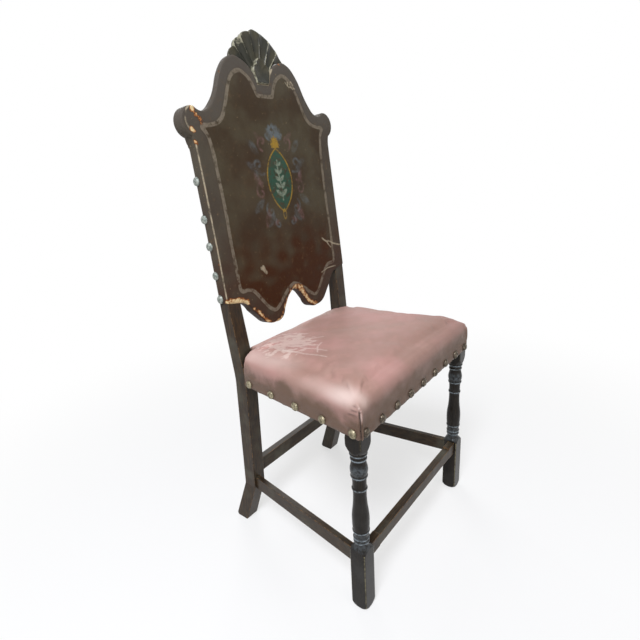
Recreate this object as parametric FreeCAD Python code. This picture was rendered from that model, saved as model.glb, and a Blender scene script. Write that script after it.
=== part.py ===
import FreeCAD, Part
import math
import os

# Upholstered side chair: a raked back with a shaped, leather-covered board and a carved
# shell crest, turned front legs, four stretchers and a stuffed leather seat.
# Sizes are in millimetres. The chair faces -Y, +Z is up and the floor is Z = 0.
# Left and right are as seen from the front, so left is -X.
# While the pieces are made, Y = 0 is the front face of the front legs. The finished
# pieces are then moved so that the origin is the middle of the footprint.

Vector = FreeCAD.Vector

# Plan of the frame
leg_block = 38.0
front_half_width = 259.0
post_floor_half_width = 215.0
post_kick_half_width = 205.5
post_back_half_width = 224.0
post_splay_top = 633.0
post_width = 36.0

# Side view of the back posts: heel kick, straight leg, bend at the seat, raked back
heel_kick_height = 121.0
heel_kick_front = 387.0
heel_floor_front = 426.0
seat_bend_height = 452.0
seat_bend_front = 356.5
back_rake = 5.64
post_depth_floor = 42.0
post_depth_kick = 37.0
post_depth_bend = 36.0
post_depth_board = 29.0
post_depth_top = 23.0
heel_round = 6.0
kick_radius = 70.0
bend_radius = 160.0

# Front legs, turned from square blanks
foot_round_height = 24.0
foot_flat_radius = 13.0
foot_swell_height = 9.0
foot_swell_radius = 21.0
foot_block_height = 171.0
foot_shoulder_height = 16.0
top_block_bottom = 400.0
top_shoulder_height = 20.0
arris_wear = 0.9

# Stretchers and seat rails
joint_gap = 1.0
side_stretcher_top = 151.0
side_stretcher_height = 36.0
side_stretcher_width = 13.0
front_stretcher_top = 159.0
front_stretcher_height = 33.0
front_stretcher_width = 18.0
front_stretcher_waist = 2.5
front_stretcher_end = 34.0
rear_stretcher_top = 192.0
rear_stretcher_height = 37.0
rear_stretcher_width = 18.0
stretcher_set_back = 6.0
tenon_width = 8.0
tenon_depth = 17.0
tenon_shoulder = 5.0
seat_rail_below_bend = 11.0
seat_rail_height = 47.0
seat_rail_width = 22.0
rear_rail_set_in = 2.5

# Seat upholstery
seat_leather = 2.0
soft_gap = 0.3
seat_skirt_height = 24.0
seat_crown_height = 52.0
seat_corner_radius = 1.2
webbing_thickness = 1.5
webbing_width = 50.0
webbing_long_count = 5
webbing_cross_count = 4
webbing_edge = 5.0
hessian_thickness = 1.2

# Back board, measured along the slope from the board's bottom corners
board_bottom_rise = 197.0
crest_rise = 528.0
lobe_drop = 82.0
notch_half_width = 20.0
notch_depth = 53.0
board_thickness = 23.0
crest_thickness = 8.0
crest_taper_drop = 150.0
crest_taper_length = 67.0
crest_rail_height = 178.0
lower_rail_top = 45.0
back_leather = 3.0
wrap_margin = 1.0
panel_thickness = 6.0
panel_rebate = 8.0
ear_radius = 19.0
ear_extra_depth = 4.0
outside_leather = 1.5
outside_inset = 10.0
outside_top_drop = 162.0

# Carved shell in the notch of the crest
shell_hub_drop = 58.0
shell_rim_radius = 124.0
shell_rim_droop = 17.0
shell_scallop = 6.5
shell_flute_step = 16.0
shell_side_flute_count = 3
shell_front = 1.5
shell_back = 11.5
shell_flute_start = 2.5
shell_flute_radius = 18.0
shell_flute_lift = 10.5
tongue_half_width = 24.0
tongue_rise = 62.0
tongue_front = -5.0
tongue_edge = 5.0
tongue_back = 3.5
shell_tenon_width = 24.0
shell_tenon_thickness = 4.0
shell_tenon_depth = 20.0

# Domed nails
nail_radius = 10.0
nail_dome = 6.0
nail_side_count = 8
nail_shank_width = 2.4
nail_shank = 15.0
seat_nail_drop = 11.0
front_nail_count = 9
front_nail_end = 17.0
side_nail_count = 5
side_nail_first = 17.0
side_nail_last = 340.0
rear_nail_count = 5
rear_nail_end = 24.0
back_nail_depth = 20.0

overrun = 60.0

# Outline of the turning, from the foot block to the top block: seven sharp rings, a long
# vase and a ball. Each row is the share of the turned length, the share of half the leg
# block, and how far the stretch that ends there bows out, as a share of its chord.
turning_shares = (
    (0.000, 0.80, 0.0),
    (0.034, 0.80, 0.0),
    (0.047, 0.91, 0.0),
    (0.060, 0.83, 0.0),
    (0.077, 0.83, 0.0),
    (0.090, 0.94, 0.0),
    (0.103, 0.86, 0.0),
    (0.151, 0.86, 0.0),
    (0.164, 0.98, 0.0),
    (0.177, 0.91, 0.0),
    (0.270, 0.98, 0.0),
    (0.330, 0.98, 0.0),
    (0.480, 0.76, 0.0),
    (0.621, 0.76, 0.0),
    (0.632, 0.86, 0.0),
    (0.643, 0.79, 0.0),
    (0.752, 0.79, 0.0),
    (0.763, 0.92, 0.0),
    (0.776, 0.86, 0.0),
    (0.815, 0.97, 0.0),
    (0.860, 0.97, 0.0),
    (0.905, 0.81, 0.0),
    (0.932, 0.81, 0.0),
    (0.943, 0.91, 0.0),
    (0.954, 0.83, 0.0),
    (0.974, 0.83, 0.0),
    (0.986, 0.94, 0.0),
    (1.000, 0.86, 0.0),
)

# Right half of the board, from the middle of its bottom edge round to the notch. The
# bottom rows are shares of half the board's width and of the drop of its lobes, and the
# top rows are shares of half the width and of the rise of its crest.
board_bottom_shares = (
    (0.000, -0.17, 0.0),
    (0.138, -0.43, -0.05),
    (0.214, -0.73, 0.0),
    (0.370, -1.00, 0.22),
    (0.545, -0.80, 0.12),
    (0.670, -0.43, 0.0),
    (0.786, -0.085, -0.08),
    (1.000, 0.036, 0.0),
)
board_top_shares = (
    (1.000, 0.625, 0.0),
    (1.027, 0.689, -0.06),
    (0.960, 0.792, 0.46),
    (0.879, 0.775, -0.08),
    (0.748, 0.800, -0.10),
    (0.605, 0.8985, -0.043),
    (0.487, 0.973, 0.045),
    (0.353, 1.000, 0.085),
    (0.203, 0.976, 0.055),
)
notch_side_bow_share = 0.11
ear_centre_share = (1.013, 0.744)

# Where each side of the shell's tongue bows out: shares of its half width and of its rise.
tongue_shoulder_shares = (0.83, 0.62)

# Cushion sections: share of the height from the skirt to the crown, and how far the
# outline is drawn in there, as a share of half the front width.
cushion_shares = (
    (0.00, 0.0000),
    (0.16, -0.0045),
    (0.32, -0.0065),
    (0.48, -0.0045),
    (0.60, 0.0040),
    (0.69, 0.0160),
    (0.77, 0.0380),
    (0.84, 0.0750),
    (0.90, 0.1350),
    (0.95, 0.2200),
    (0.98, 0.3300),
    (1.00, 0.4800),
)

# Nails up each side of the back, driven by eye: shares of the crest's rise.
back_nail_shares = (0.021, 0.125, 0.251, 0.364, 0.517)

# Forged nail head, hammered to flat faces: shares of the dome's height and of its radius.
nail_dome_shares = ((0.0, 1.0), (0.6, 0.78), (1.0, 0.30))

# Chords that each rounded corner of the seat is made of, and how fast the corner's radius
# grows as the crown draws in.
seat_corner_chord_count = 4
seat_corner_growth_share = 0.45

rake_radians = math.radians(back_rake)
seat_rail_bottom = seat_bend_height - seat_rail_below_bend
seat_rail_top = seat_rail_bottom + seat_rail_height
seat_top = seat_rail_top + seat_crown_height
seat_middle = seat_rail_bottom + seat_rail_height / 2
seat_rear_y = seat_bend_front + post_depth_bend - rear_rail_set_in
turned_length = top_block_bottom - foot_block_height
half_block = leg_block / 2
blank_corner_radius = math.hypot(half_block, half_block) - arris_wear
crest_taper_start = crest_rise - crest_taper_drop
crest_taper_end = crest_taper_start + crest_taper_length
crest_rail_bottom = crest_rise - crest_rail_height
outside_top = crest_rise - outside_top_drop
crest_rail_rise = board_bottom_rise + crest_rail_bottom


def box(x_range, y_range, z_range):
    """A block between two values on each axis."""
    low = Vector(min(x_range), min(y_range), min(z_range))
    size = [abs(high - start) for start, high in (x_range, y_range, z_range)]
    block = Part.makeBox(*size)
    block.translate(low)
    return block


def mirrored(shape):
    """The same piece on the other side of the chair."""
    return shape.mirror(Vector(0, 0, 0), Vector(1, 0, 0))


def bowed_edges(points, place):
    """Lines and arcs through (a, b, bow) rows; a positive bow lies to the right of the way."""
    edges = []
    for (a0, b0, unused), (a1, b1, bow) in zip(points, points[1:]):
        start, end = place(a0, b0), place(a1, b1)
        if abs(bow) > 0:
            middle_a = (a0 + a1) / 2 + (b1 - b0) * bow
            middle_b = (b0 + b1) / 2 - (a1 - a0) * bow
            edges.append(Part.Arc(start, place(middle_a, middle_b), end).toShape())
        else:
            edges.append(Part.makeLine(start, end))
    return edges


def rounded_wire(corners, place):
    """A closed outline of (a, b, radius) corners, each rounded by a tangent arc."""
    count = len(corners)
    stations = []
    for index, (a, b, radius) in enumerate(corners):
        here = Vector(a, b, 0)
        last, coming = corners[index - 1], corners[(index + 1) % count]
        before = (Vector(last[0], last[1], 0) - here).normalize()
        after = (Vector(coming[0], coming[1], 0) - here).normalize()
        half_turn = before.getAngle(after) / 2
        reach = radius / math.tan(half_turn)
        inward = (before + after).normalize()
        nearest = here + inward * (radius / math.sin(half_turn) - radius)
        stations.append((here + before * reach, nearest, here + after * reach, radius))
    edges = []
    for index, (arrive, nearest, leave, radius) in enumerate(stations):
        start = place(leave.x, leave.y)
        if radius > 0:
            edges.append(Part.Arc(place(arrive.x, arrive.y), place(nearest.x, nearest.y), start).toShape())
        following = stations[(index + 1) % count][0]
        edges.append(Part.makeLine(start, place(following.x, following.y)))
    return Part.Wire(edges)


def prism(wire, direction):
    """A closed flat outline drawn out along a direction."""
    return Part.Face(wire).extrude(direction)


def ringed_solid(rings):
    """A closed solid through flat rings of points, each ring as long as the one before."""
    faces = [Part.Face(Part.makePolygon(ring + ring[:1])) for ring in (rings[0], rings[-1])]
    for low, high in zip(rings, rings[1:]):
        for index in range(len(low)):
            corners = [low[index - 1], low[index], high[index], high[index - 1]]
            faces.append(Part.Face(Part.makePolygon(corners + corners[:1])))
    return Part.Solid(Part.Shell(faces))


def raked(shape):
    """Moves a piece from the board's own frame (X, depth, rise) to its place in the chair."""
    shape.rotate(Vector(0, 0, 0), Vector(1, 0, 0), -back_rake)
    shape.translate(Vector(0, seat_bend_front, seat_bend_height))
    return shape


def back_point(x, depth, rise):
    """A point given by its depth behind the board's front and its rise along the slope."""
    y = seat_bend_front + depth * math.cos(rake_radians) + rise * math.sin(rake_radians)
    z = seat_bend_height - depth * math.sin(rake_radians) + rise * math.cos(rake_radians)
    return Vector(x, y, z)


def post_outer_x(z):
    """Half width over the back posts at a height."""
    share = min((z - heel_kick_height) / (post_splay_top - heel_kick_height), 1)
    return post_kick_half_width + (post_back_half_width - post_kick_half_width) * share


def post_front_y(z):
    """Front face of the back posts between the heel kick and the seat bend."""
    share = (z - heel_kick_height) / (seat_bend_height - heel_kick_height)
    return heel_kick_front + (seat_bend_front - heel_kick_front) * share


def side_line_x(y, z):
    """Half width of the frame's side, from the front leg's face to the post's face."""
    share = y / post_front_y(z)
    return front_half_width + (post_outer_x(z) - front_half_width) * share


def post_blank(growth, outward):
    """A right-hand back post before its joints, grown by a clearance and further outward."""
    top = back_point(0, 0, crest_rail_rise)
    top_rear = back_point(0, post_depth_top, crest_rail_rise)
    board_rear = back_point(0, post_depth_board, board_bottom_rise)
    side_corners = (
        (heel_floor_front - growth, 0, heel_round),
        (heel_floor_front + post_depth_floor + growth, 0, heel_round),
        (heel_kick_front + post_depth_kick + growth, heel_kick_height, kick_radius),
        (seat_bend_front + post_depth_bend + growth, seat_bend_height, bend_radius),
        (board_rear.y + growth, board_rear.z, bend_radius),
        (top_rear.y + growth, top_rear.z, 0),
        (top.y - growth, top.z, 0),
        (seat_bend_front - growth, seat_bend_height, bend_radius),
        (heel_kick_front - growth, heel_kick_height, kick_radius),
    )
    side_wire = rounded_wire(side_corners, lambda y, z: Vector(0, y, z))
    side_view = prism(side_wire, Vector(2 * front_half_width, 0, 0))
    height = top.z + post_width
    outer = (
        (post_floor_half_width, 0),
        (post_kick_half_width, heel_kick_height),
        (post_back_half_width, post_splay_top),
        (post_back_half_width, height),
    )
    front_points = [(x + growth + outward, z) for x, z in outer]
    front_points += [(x - post_width - growth, z) for x, z in reversed(outer)]
    front_wire = Part.makePolygon([Vector(x, 0, z) for x, z in front_points + front_points[:1]])
    return side_view.common(prism(front_wire, Vector(0, heel_floor_front + post_depth_floor + overrun, 0)))


def leg_blank():
    """A right-hand front leg: a square blank turned between its blocks."""
    profile = [
        (0, 0, 0),
        (foot_flat_radius, 0, 0),
        (foot_swell_radius, foot_swell_height, 0),
        (blank_corner_radius, foot_round_height, 0),
        (blank_corner_radius, foot_block_height - foot_shoulder_height, 0),
        (turning_shares[0][1] * half_block, foot_block_height, 0),
    ]
    for height_share, radius_share, bow in turning_shares[1:]:
        profile.append((radius_share * half_block, foot_block_height + height_share * turned_length, bow))
    profile.append((blank_corner_radius, top_block_bottom + top_shoulder_height, 0))
    profile.append((blank_corner_radius, seat_rail_top, 0))
    profile.append((0, seat_rail_top, 0))
    profile.append((0, 0, 0))
    edges = bowed_edges(profile, lambda r, z: Vector(r, 0, z))
    envelope = Part.Face(Part.Wire(edges)).revolve(Vector(0, 0, 0), Vector(0, 0, 1), 360)
    square = box((-half_block, half_block), (-half_block, half_block), (0, seat_rail_top))
    leg = square.common(envelope)
    leg.translate(Vector(front_half_width - half_block, half_block, 0))
    return leg.cut(side_trim())


def side_trim():
    """What is planed off the leg's top block, to lie flush with the side rail."""
    plan = ((-leg_block, 0), (2 * leg_block, 0), (2 * leg_block, leg_block), (-leg_block, leg_block))
    corners = []
    for y, outward in plan:
        corners.append(Vector(side_line_x(y, seat_middle) + outward, y, seat_rail_bottom))
    return prism(Part.makePolygon(corners + corners[:1]), Vector(0, 0, seat_rail_height))


def seat_side_way():
    """The direction that the right side of the seat faces."""
    fall = side_line_x(post_front_y(seat_middle), seat_middle) - side_line_x(0, seat_middle)
    return Vector(post_front_y(seat_middle), -fall, 0).normalize()


def side_bar(set_in, width, z_range, y_range):
    """A bar along the right side of the frame, following the slope of its plan."""
    middle = sum(z_range) / 2
    first, last = y_range
    corners = []
    for y, depth in ((first, set_in), (last, set_in), (last, set_in + width), (first, set_in + width)):
        corners.append(Vector(side_line_x(y, middle) - depth, y, z_range[0]))
    return prism(Part.makePolygon(corners + corners[:1]), Vector(0, 0, z_range[1] - z_range[0]))


def side_member(set_in, width, z_range, leg, post):
    """A side rail or stretcher with its tenons, and the mortise shape that receives it."""
    middle = sum(z_range) / 2
    post_face = post_front_y(middle)
    reach = (half_block, post_face + post_depth_bend / 2)
    body = side_bar(set_in, width, z_range, reach).cut(leg).cut(post)
    cheek = (width - tenon_width) / 2
    tenon_z = (z_range[0] + tenon_shoulder, z_range[1] - tenon_shoulder)
    tenon_y = (leg_block - tenon_depth, post_face + tenon_depth)
    tenon = side_bar(set_in + cheek, tenon_width, tenon_z, tenon_y)
    mortise_y = (tenon_y[0] - joint_gap, tenon_y[1] + joint_gap)
    return body.fuse(tenon).removeSplitter(), side_bar(set_in + cheek, tenon_width, tenon_z, mortise_y)


def cross_member(half_length, y_range, z_range, receiver, tenon_centre_y):
    """A front or rear rail or stretcher across the chair, with its tenons and mortise shape."""
    body = box((-half_length - half_block, half_length + half_block), y_range, z_range)
    body = body.cut(receiver).cut(mirrored(receiver))
    tenon_y = (tenon_centre_y - tenon_width / 2, tenon_centre_y + tenon_width / 2)
    tenon_z = (z_range[0] + tenon_shoulder, z_range[1] - tenon_shoulder)
    reach = half_length + tenon_depth
    tenon = box((-reach, reach), tenon_y, tenon_z)
    mortise = box((-reach - joint_gap, reach + joint_gap), tenon_y, tenon_z)
    return body.fuse(tenon).removeSplitter(), mortise


def board_wire():
    """Outline of the wooden back board in its own frame, without its leather."""
    half_width = post_back_half_width
    right = [(x * half_width, z * lobe_drop, bow) for x, z, bow in board_bottom_shares]
    right += [(x * half_width, z * crest_rise, bow) for x, z, bow in board_top_shares]
    notch_floor = crest_rise - notch_depth
    right.append((notch_half_width, notch_floor, notch_side_bow_share))
    right.append((0, notch_floor, 0))
    left = []
    for (x, z, unused), (unused_x, unused_z, bow) in zip(reversed(right[:-1]), reversed(right[1:])):
        left.append((-x, z, bow))
    edges = bowed_edges(right + left, lambda x, z: Vector(x, 0, board_bottom_rise + z))
    return Part.Wire(edges)


def board_prism(growth, depth_range):
    """The board's outline, grown or shrunk, between two depths behind its front."""
    wire = board_wire()
    if abs(growth) > 0:
        wire = wire.makeOffset2D(growth)
    wire.translate(Vector(0, depth_range[0], 0))
    return prism(wire, Vector(0, depth_range[1] - depth_range[0], 0))


def thinned(shape, depth_start, margin):
    """Keeps what lies in front of the board's rear face, which is planed thin at the crest."""
    reaches = (-lobe_drop - overrun, crest_taper_start, crest_taper_end, crest_rise + overrun)
    rises = [board_bottom_rise + reach for reach in reaches]
    thicknesses = (board_thickness, board_thickness, crest_thickness, crest_thickness)
    depths = [thickness - margin for thickness in thicknesses]
    profile = [(depth_start, rises[0])] + list(zip(depths, rises)) + [(depth_start, rises[-1])]
    corners = [Vector(-2 * front_half_width, depth, rise) for depth, rise in profile]
    keep = prism(Part.makePolygon(corners + corners[:1]), Vector(4 * front_half_width, 0, 0))
    return shape.common(keep)


def ear_bosses(radius, depth_range):
    """A round boss behind each ear of the crest."""
    ear_x = ear_centre_share[0] * post_back_half_width
    ear_z = board_bottom_rise + ear_centre_share[1] * crest_rise
    length = depth_range[1] - depth_range[0]
    bosses = []
    for x in (-ear_x, ear_x):
        bosses.append(Part.makeCylinder(radius, length, Vector(x, depth_range[0], ear_z), Vector(0, 1, 0)))
    return bosses


def rise_band(low, high, depth_range, half_width):
    """A block between two rises above the board's bottom corners."""
    rises = (board_bottom_rise + low, board_bottom_rise + high)
    return box((-half_width, half_width), depth_range, rises)


def crest_rail(post_pair):
    """The shaped top board with its two ears, and mortises for the posts."""
    band = rise_band(crest_rail_bottom, crest_rise + overrun, (0, board_thickness), front_half_width)
    rail = thinned(board_prism(0, (0, board_thickness)).common(band), 0, 0)
    for ear in ear_bosses(ear_radius, (0, board_thickness + ear_extra_depth)):
        rail = rail.fuse(ear)
    return raked(rail.removeSplitter()).cut(post_pair)


def post_tenon(growth):
    """The tenon at the head of the right-hand post, in the board's own frame."""
    centre = post_back_half_width - post_width / 2
    half = post_width / 2 - tenon_shoulder
    cheek = (post_depth_top - tenon_width) / 2
    rises = (crest_rail_rise, crest_rail_rise + tenon_depth + growth)
    return raked(box((centre - half, centre + half), (cheek, cheek + tenon_width), rises))


def lower_back_rail(post_pair):
    """The scalloped rail between the posts, with its tenons, and the mortise shape."""
    inner = post_back_half_width - post_width
    band = rise_band(-lobe_drop - overrun, lower_rail_top, (0, board_thickness), inner + half_block)
    rail = raked(board_prism(0, (0, board_thickness)).common(band)).cut(post_pair)
    cheek = (board_thickness - tenon_width) / 2 + panel_thickness / 2
    tenon_top = board_bottom_rise + lower_rail_top - panel_rebate - tenon_shoulder
    tenon_rise = (board_bottom_rise + tenon_shoulder, tenon_top)
    reach = inner + tenon_depth
    tenon = raked(box((-reach, reach), (cheek, cheek + tenon_width), tenon_rise))
    mortise = raked(box((-reach - joint_gap, reach + joint_gap), (cheek, cheek + tenon_width), tenon_rise))
    return rail.fuse(tenon).removeSplitter(), mortise


def back_panel():
    """The thin board that fills the frame of the back, set in rebates."""
    half = post_back_half_width - post_width + panel_rebate
    rises = (lower_rail_top - panel_rebate, crest_rail_bottom + panel_rebate)
    band = rise_band(*rises, (0, panel_thickness), half)
    return raked(band)


def back_cover(post_pair):
    """Leather over the front of the back, turned round its edges."""
    outside = board_prism(back_leather, (-back_leather, board_thickness))
    walls = thinned(outside.cut(board_prism(0, (0, overrun))), -back_leather, wrap_margin)
    return raked(walls).cut(post_pair)


def outside_cover(post_pair):
    """Thin leather on the rear of the back, between and above the posts."""
    depths = (board_thickness, board_thickness + outside_leather)
    band = rise_band(-lobe_drop - overrun, outside_top, depths, post_back_half_width)
    return raked(board_prism(-outside_inset, depths).common(band)).cut(post_pair)


def shell_rim(angle_share):
    """Radius of the shell's rim at a share of its half spread."""
    return shell_rim_radius - shell_rim_droop * abs(angle_share)


def shell_crest():
    """The carved shell: a fluted fan, a domed tongue in front, and its tenon and mortise."""
    hub_rise = board_bottom_rise + crest_rise - shell_hub_drop
    last = shell_side_flute_count
    step = math.radians(shell_flute_step)

    def polar(radius, turn):
        return (radius * math.sin(turn), hub_rise + radius * math.cos(turn))

    def place(x, z):
        return Vector(x, shell_front, z)

    edges = []
    valleys = []
    for index in range(-last, last + 2):
        share = (index - 0.5) / last
        valleys.append(polar(shell_rim(min(abs(share), 1)) - shell_scallop, (index - 0.5) * step))
    for index in range(-last, last + 1):
        tip = polar(shell_rim(index / last), index * step)
        start, end = valleys[index + last], valleys[index + last + 1]
        edges.append(Part.Arc(place(*start), place(*tip), place(*end)).toShape())
    edges.append(Part.makeLine(place(*valleys[-1]), place(0, hub_rise)))
    edges.append(Part.makeLine(place(0, hub_rise), place(*valleys[0])))
    fan = prism(Part.Wire(edges), Vector(0, shell_back - shell_front, 0))
    for index in range(-last, last + 1):
        x, z = polar(shell_rim_radius, index * step)
        start = Vector(0, shell_front, hub_rise)
        way = Vector(x, shell_front - shell_flute_lift, z) - start
        flute = Part.makeCone(shell_flute_start, shell_flute_radius, way.Length, start, way)
        fan = fan.cut(flute)

    tip = place(0, hub_rise + tongue_rise)
    foot_left = place(-tongue_half_width, hub_rise)
    foot_right = place(tongue_half_width, hub_rise)
    shoulder_x = tongue_half_width * tongue_shoulder_shares[0]
    shoulder_z = hub_rise + tongue_rise * tongue_shoulder_shares[1]
    left_side = Part.Arc(foot_left, place(-shoulder_x, shoulder_z), tip).toShape()
    right_side = Part.Arc(tip, place(shoulder_x, shoulder_z), foot_right).toShape()
    arch = Part.Wire([left_side, right_side, Part.makeLine(foot_right, foot_left)])
    arch.translate(Vector(0, tongue_back - shell_front, 0))
    dome = prism(arch, Vector(0, tongue_front - tongue_back, 0))
    limit = tongue_front + tongue_edge / 2
    rim = [e for e in dome.Edges if e.CenterOfMass.y < limit and e.CenterOfMass.z > hub_rise]
    dome = dome.makeChamfer(tongue_edge, rim)
    notch_floor = board_bottom_rise + crest_rise - notch_depth + back_leather
    root_range = (notch_floor, notch_floor + notch_depth)
    root = box((-notch_half_width, notch_half_width), (tongue_back, shell_back), root_range)
    shell = fan.fuse(dome).fuse(root)
    shell = shell.cut(board_prism(back_leather, (-overrun, overrun)))
    cheek = (crest_thickness - shell_tenon_thickness) / 2
    tenon_x = (-shell_tenon_width / 2, shell_tenon_width / 2)
    tenon_depths = (cheek, cheek + shell_tenon_thickness)
    tenon = box(tenon_x, tenon_depths, (notch_floor - shell_tenon_depth, notch_floor + tenon_width))
    mortise = box(tenon_x, tenon_depths, (notch_floor - shell_tenon_depth - joint_gap, notch_floor))
    return raked(shell.fuse(tenon).removeSplitter()), raked(mortise)


def cushion_outline(drawn_in, z, radius):
    """Points round the upholstery at a height, drawn in from the frame's outer faces."""
    front_y = drawn_in
    rear_y = seat_rear_y - drawn_in
    set_in = drawn_in / seat_side_way().x
    front_x = side_line_x(front_y, seat_middle) - set_in
    rear_x = side_line_x(rear_y, seat_middle) - set_in
    corners = (
        (front_x, front_y, radius),
        (rear_x, rear_y, radius),
        (-rear_x, rear_y, radius),
        (-front_x, front_y, radius),
    )
    points = []
    for edge in rounded_wire(corners, lambda x, y: Vector(x, y, z)).Edges:
        if edge.Curve.TypeId == "Part::GeomCircle":
            points += edge.discretize(seat_corner_chord_count + 1)
    return points


def cushion(growth, bottom, top_offset):
    """The crowned seat form, grown outwards, from a flat bottom to its crown."""
    skirt_top = seat_rail_bottom + seat_skirt_height
    crown_top = seat_top + top_offset
    rings = [cushion_outline(-growth, bottom, seat_corner_radius + growth)]
    for height_share, drawn_share in cushion_shares:
        height = skirt_top + (crown_top - skirt_top) * height_share
        drawn = drawn_share * front_half_width
        radius = seat_corner_radius + growth + max(drawn, 0) * seat_corner_growth_share
        rings.append(cushion_outline(drawn - growth, height, radius))
    return ringed_solid(rings)


def seat_pieces(post_pair):
    """Webbing, hessian, stuffing and leather cover of the seat."""
    straps = []
    long_span = (webbing_edge, seat_rear_y - webbing_edge)
    inner_half = post_outer_x(seat_middle) - post_width
    long_half = inner_half - webbing_edge - webbing_width / 2
    for centre in spread(-long_half, long_half, webbing_long_count):
        x_range = (centre - webbing_width / 2, centre + webbing_width / 2)
        straps.append(box(x_range, long_span, (seat_rail_top, seat_rail_top + webbing_thickness)))
    cross_low = seat_rail_top + webbing_thickness
    reach = seat_bend_front - leg_block
    for index in range(webbing_cross_count):
        y = leg_block + reach * (2 * index + 1) / (2 * webbing_cross_count)
        half = side_line_x(y + webbing_width / 2, seat_middle) - webbing_edge
        y_range = (y - webbing_width / 2, y + webbing_width / 2)
        straps.append(box((-half, half), y_range, (cross_low, cross_low + webbing_thickness)))
    hessian_low = cross_low + webbing_thickness
    plan = cushion_outline(webbing_edge, hessian_low, webbing_edge)
    sheet = prism(Part.makePolygon(plan + plan[:1]), Vector(0, 0, hessian_thickness)).cut(post_pair)
    stuffing_bottom = hessian_low + hessian_thickness + soft_gap
    seat_y = (-overrun, seat_rear_y + overrun)
    above = box((-front_half_width, front_half_width), seat_y, (stuffing_bottom, seat_top + overrun))
    stuffing = cushion(0, seat_rail_bottom, -seat_leather - soft_gap).common(above)
    outer = cushion(soft_gap + seat_leather, seat_rail_bottom, 0)
    inner = cushion(soft_gap, seat_rail_bottom - overrun, -seat_leather)
    cover = outer.cut(inner).cut(post_pair)
    return {
        "seat_webbing": Part.makeCompound(straps),
        "seat_hessian": sheet,
        "seat_stuffing": stuffing.cut(post_pair),
        "seat_cover": cover,
    }


def nail(point, direction):
    """A domed nail whose head sits at a point and faces a direction, and its shank's hole."""
    rings = []
    for height_share, radius_share in nail_dome_shares:
        ring = []
        for index in range(nail_side_count):
            turn = 2 * math.pi * index / nail_side_count
            reach = nail_radius * radius_share
            ring.append(Vector(reach * math.cos(turn), reach * math.sin(turn), nail_dome * height_share))
        rings.append(ring)
    side = (-nail_shank_width / 2, nail_shank_width / 2)
    head = ringed_solid(rings).fuse(box(side, side, (-nail_shank, 0)))
    hole = box(side, side, (-nail_shank - joint_gap, 0))
    place = FreeCAD.Placement(point, FreeCAD.Rotation(Vector(0, 0, 1), direction))
    head.Placement = place.multiply(head.Placement)
    hole.Placement = place.multiply(hole.Placement)
    return head, hole


def spread(first, last, count):
    """Evenly spaced places from the first to the last."""
    return [first + (last - first) * index / (count - 1) for index in range(count)]


def nail_rows():
    """Every row of nails: its node's name, and where each nail sits and faces."""
    stand = soft_gap + seat_leather
    height = seat_rail_bottom + seat_nail_drop
    rear_half = post_outer_x(height) - post_width - rear_nail_end
    front_half = front_half_width - front_nail_end
    front_x = spread(-front_half, front_half, front_nail_count)
    rear_x = spread(-rear_half, rear_half, rear_nail_count)
    rows = {
        "front_seat_nails": [(Vector(x, -stand, height), Vector(0, -1, 0)) for x in front_x],
        "rear_seat_nails": [(Vector(x, seat_rear_y + stand, height), Vector(0, 1, 0)) for x in rear_x],
    }
    outward = seat_side_way()
    right_seat = []
    for y in spread(side_nail_first, side_nail_last, side_nail_count):
        right_seat.append((Vector(side_line_x(y, seat_middle), y, height) + outward * stand, outward))
    right_back = []
    for share in back_nail_shares:
        rise = board_bottom_rise + share * crest_rise
        point = back_point(post_back_half_width + back_leather, back_nail_depth, rise)
        right_back.append((point, Vector(1, 0, 0)))
    for name, row in (("seat_nails", right_seat), ("back_nails", right_back)):
        rows["right_" + name] = row
        rows["left_" + name] = [
            (Vector(-point.x, point.y, point.z), Vector(-way.x, way.y, way.z)) for point, way in row
        ]
    return rows


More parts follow.
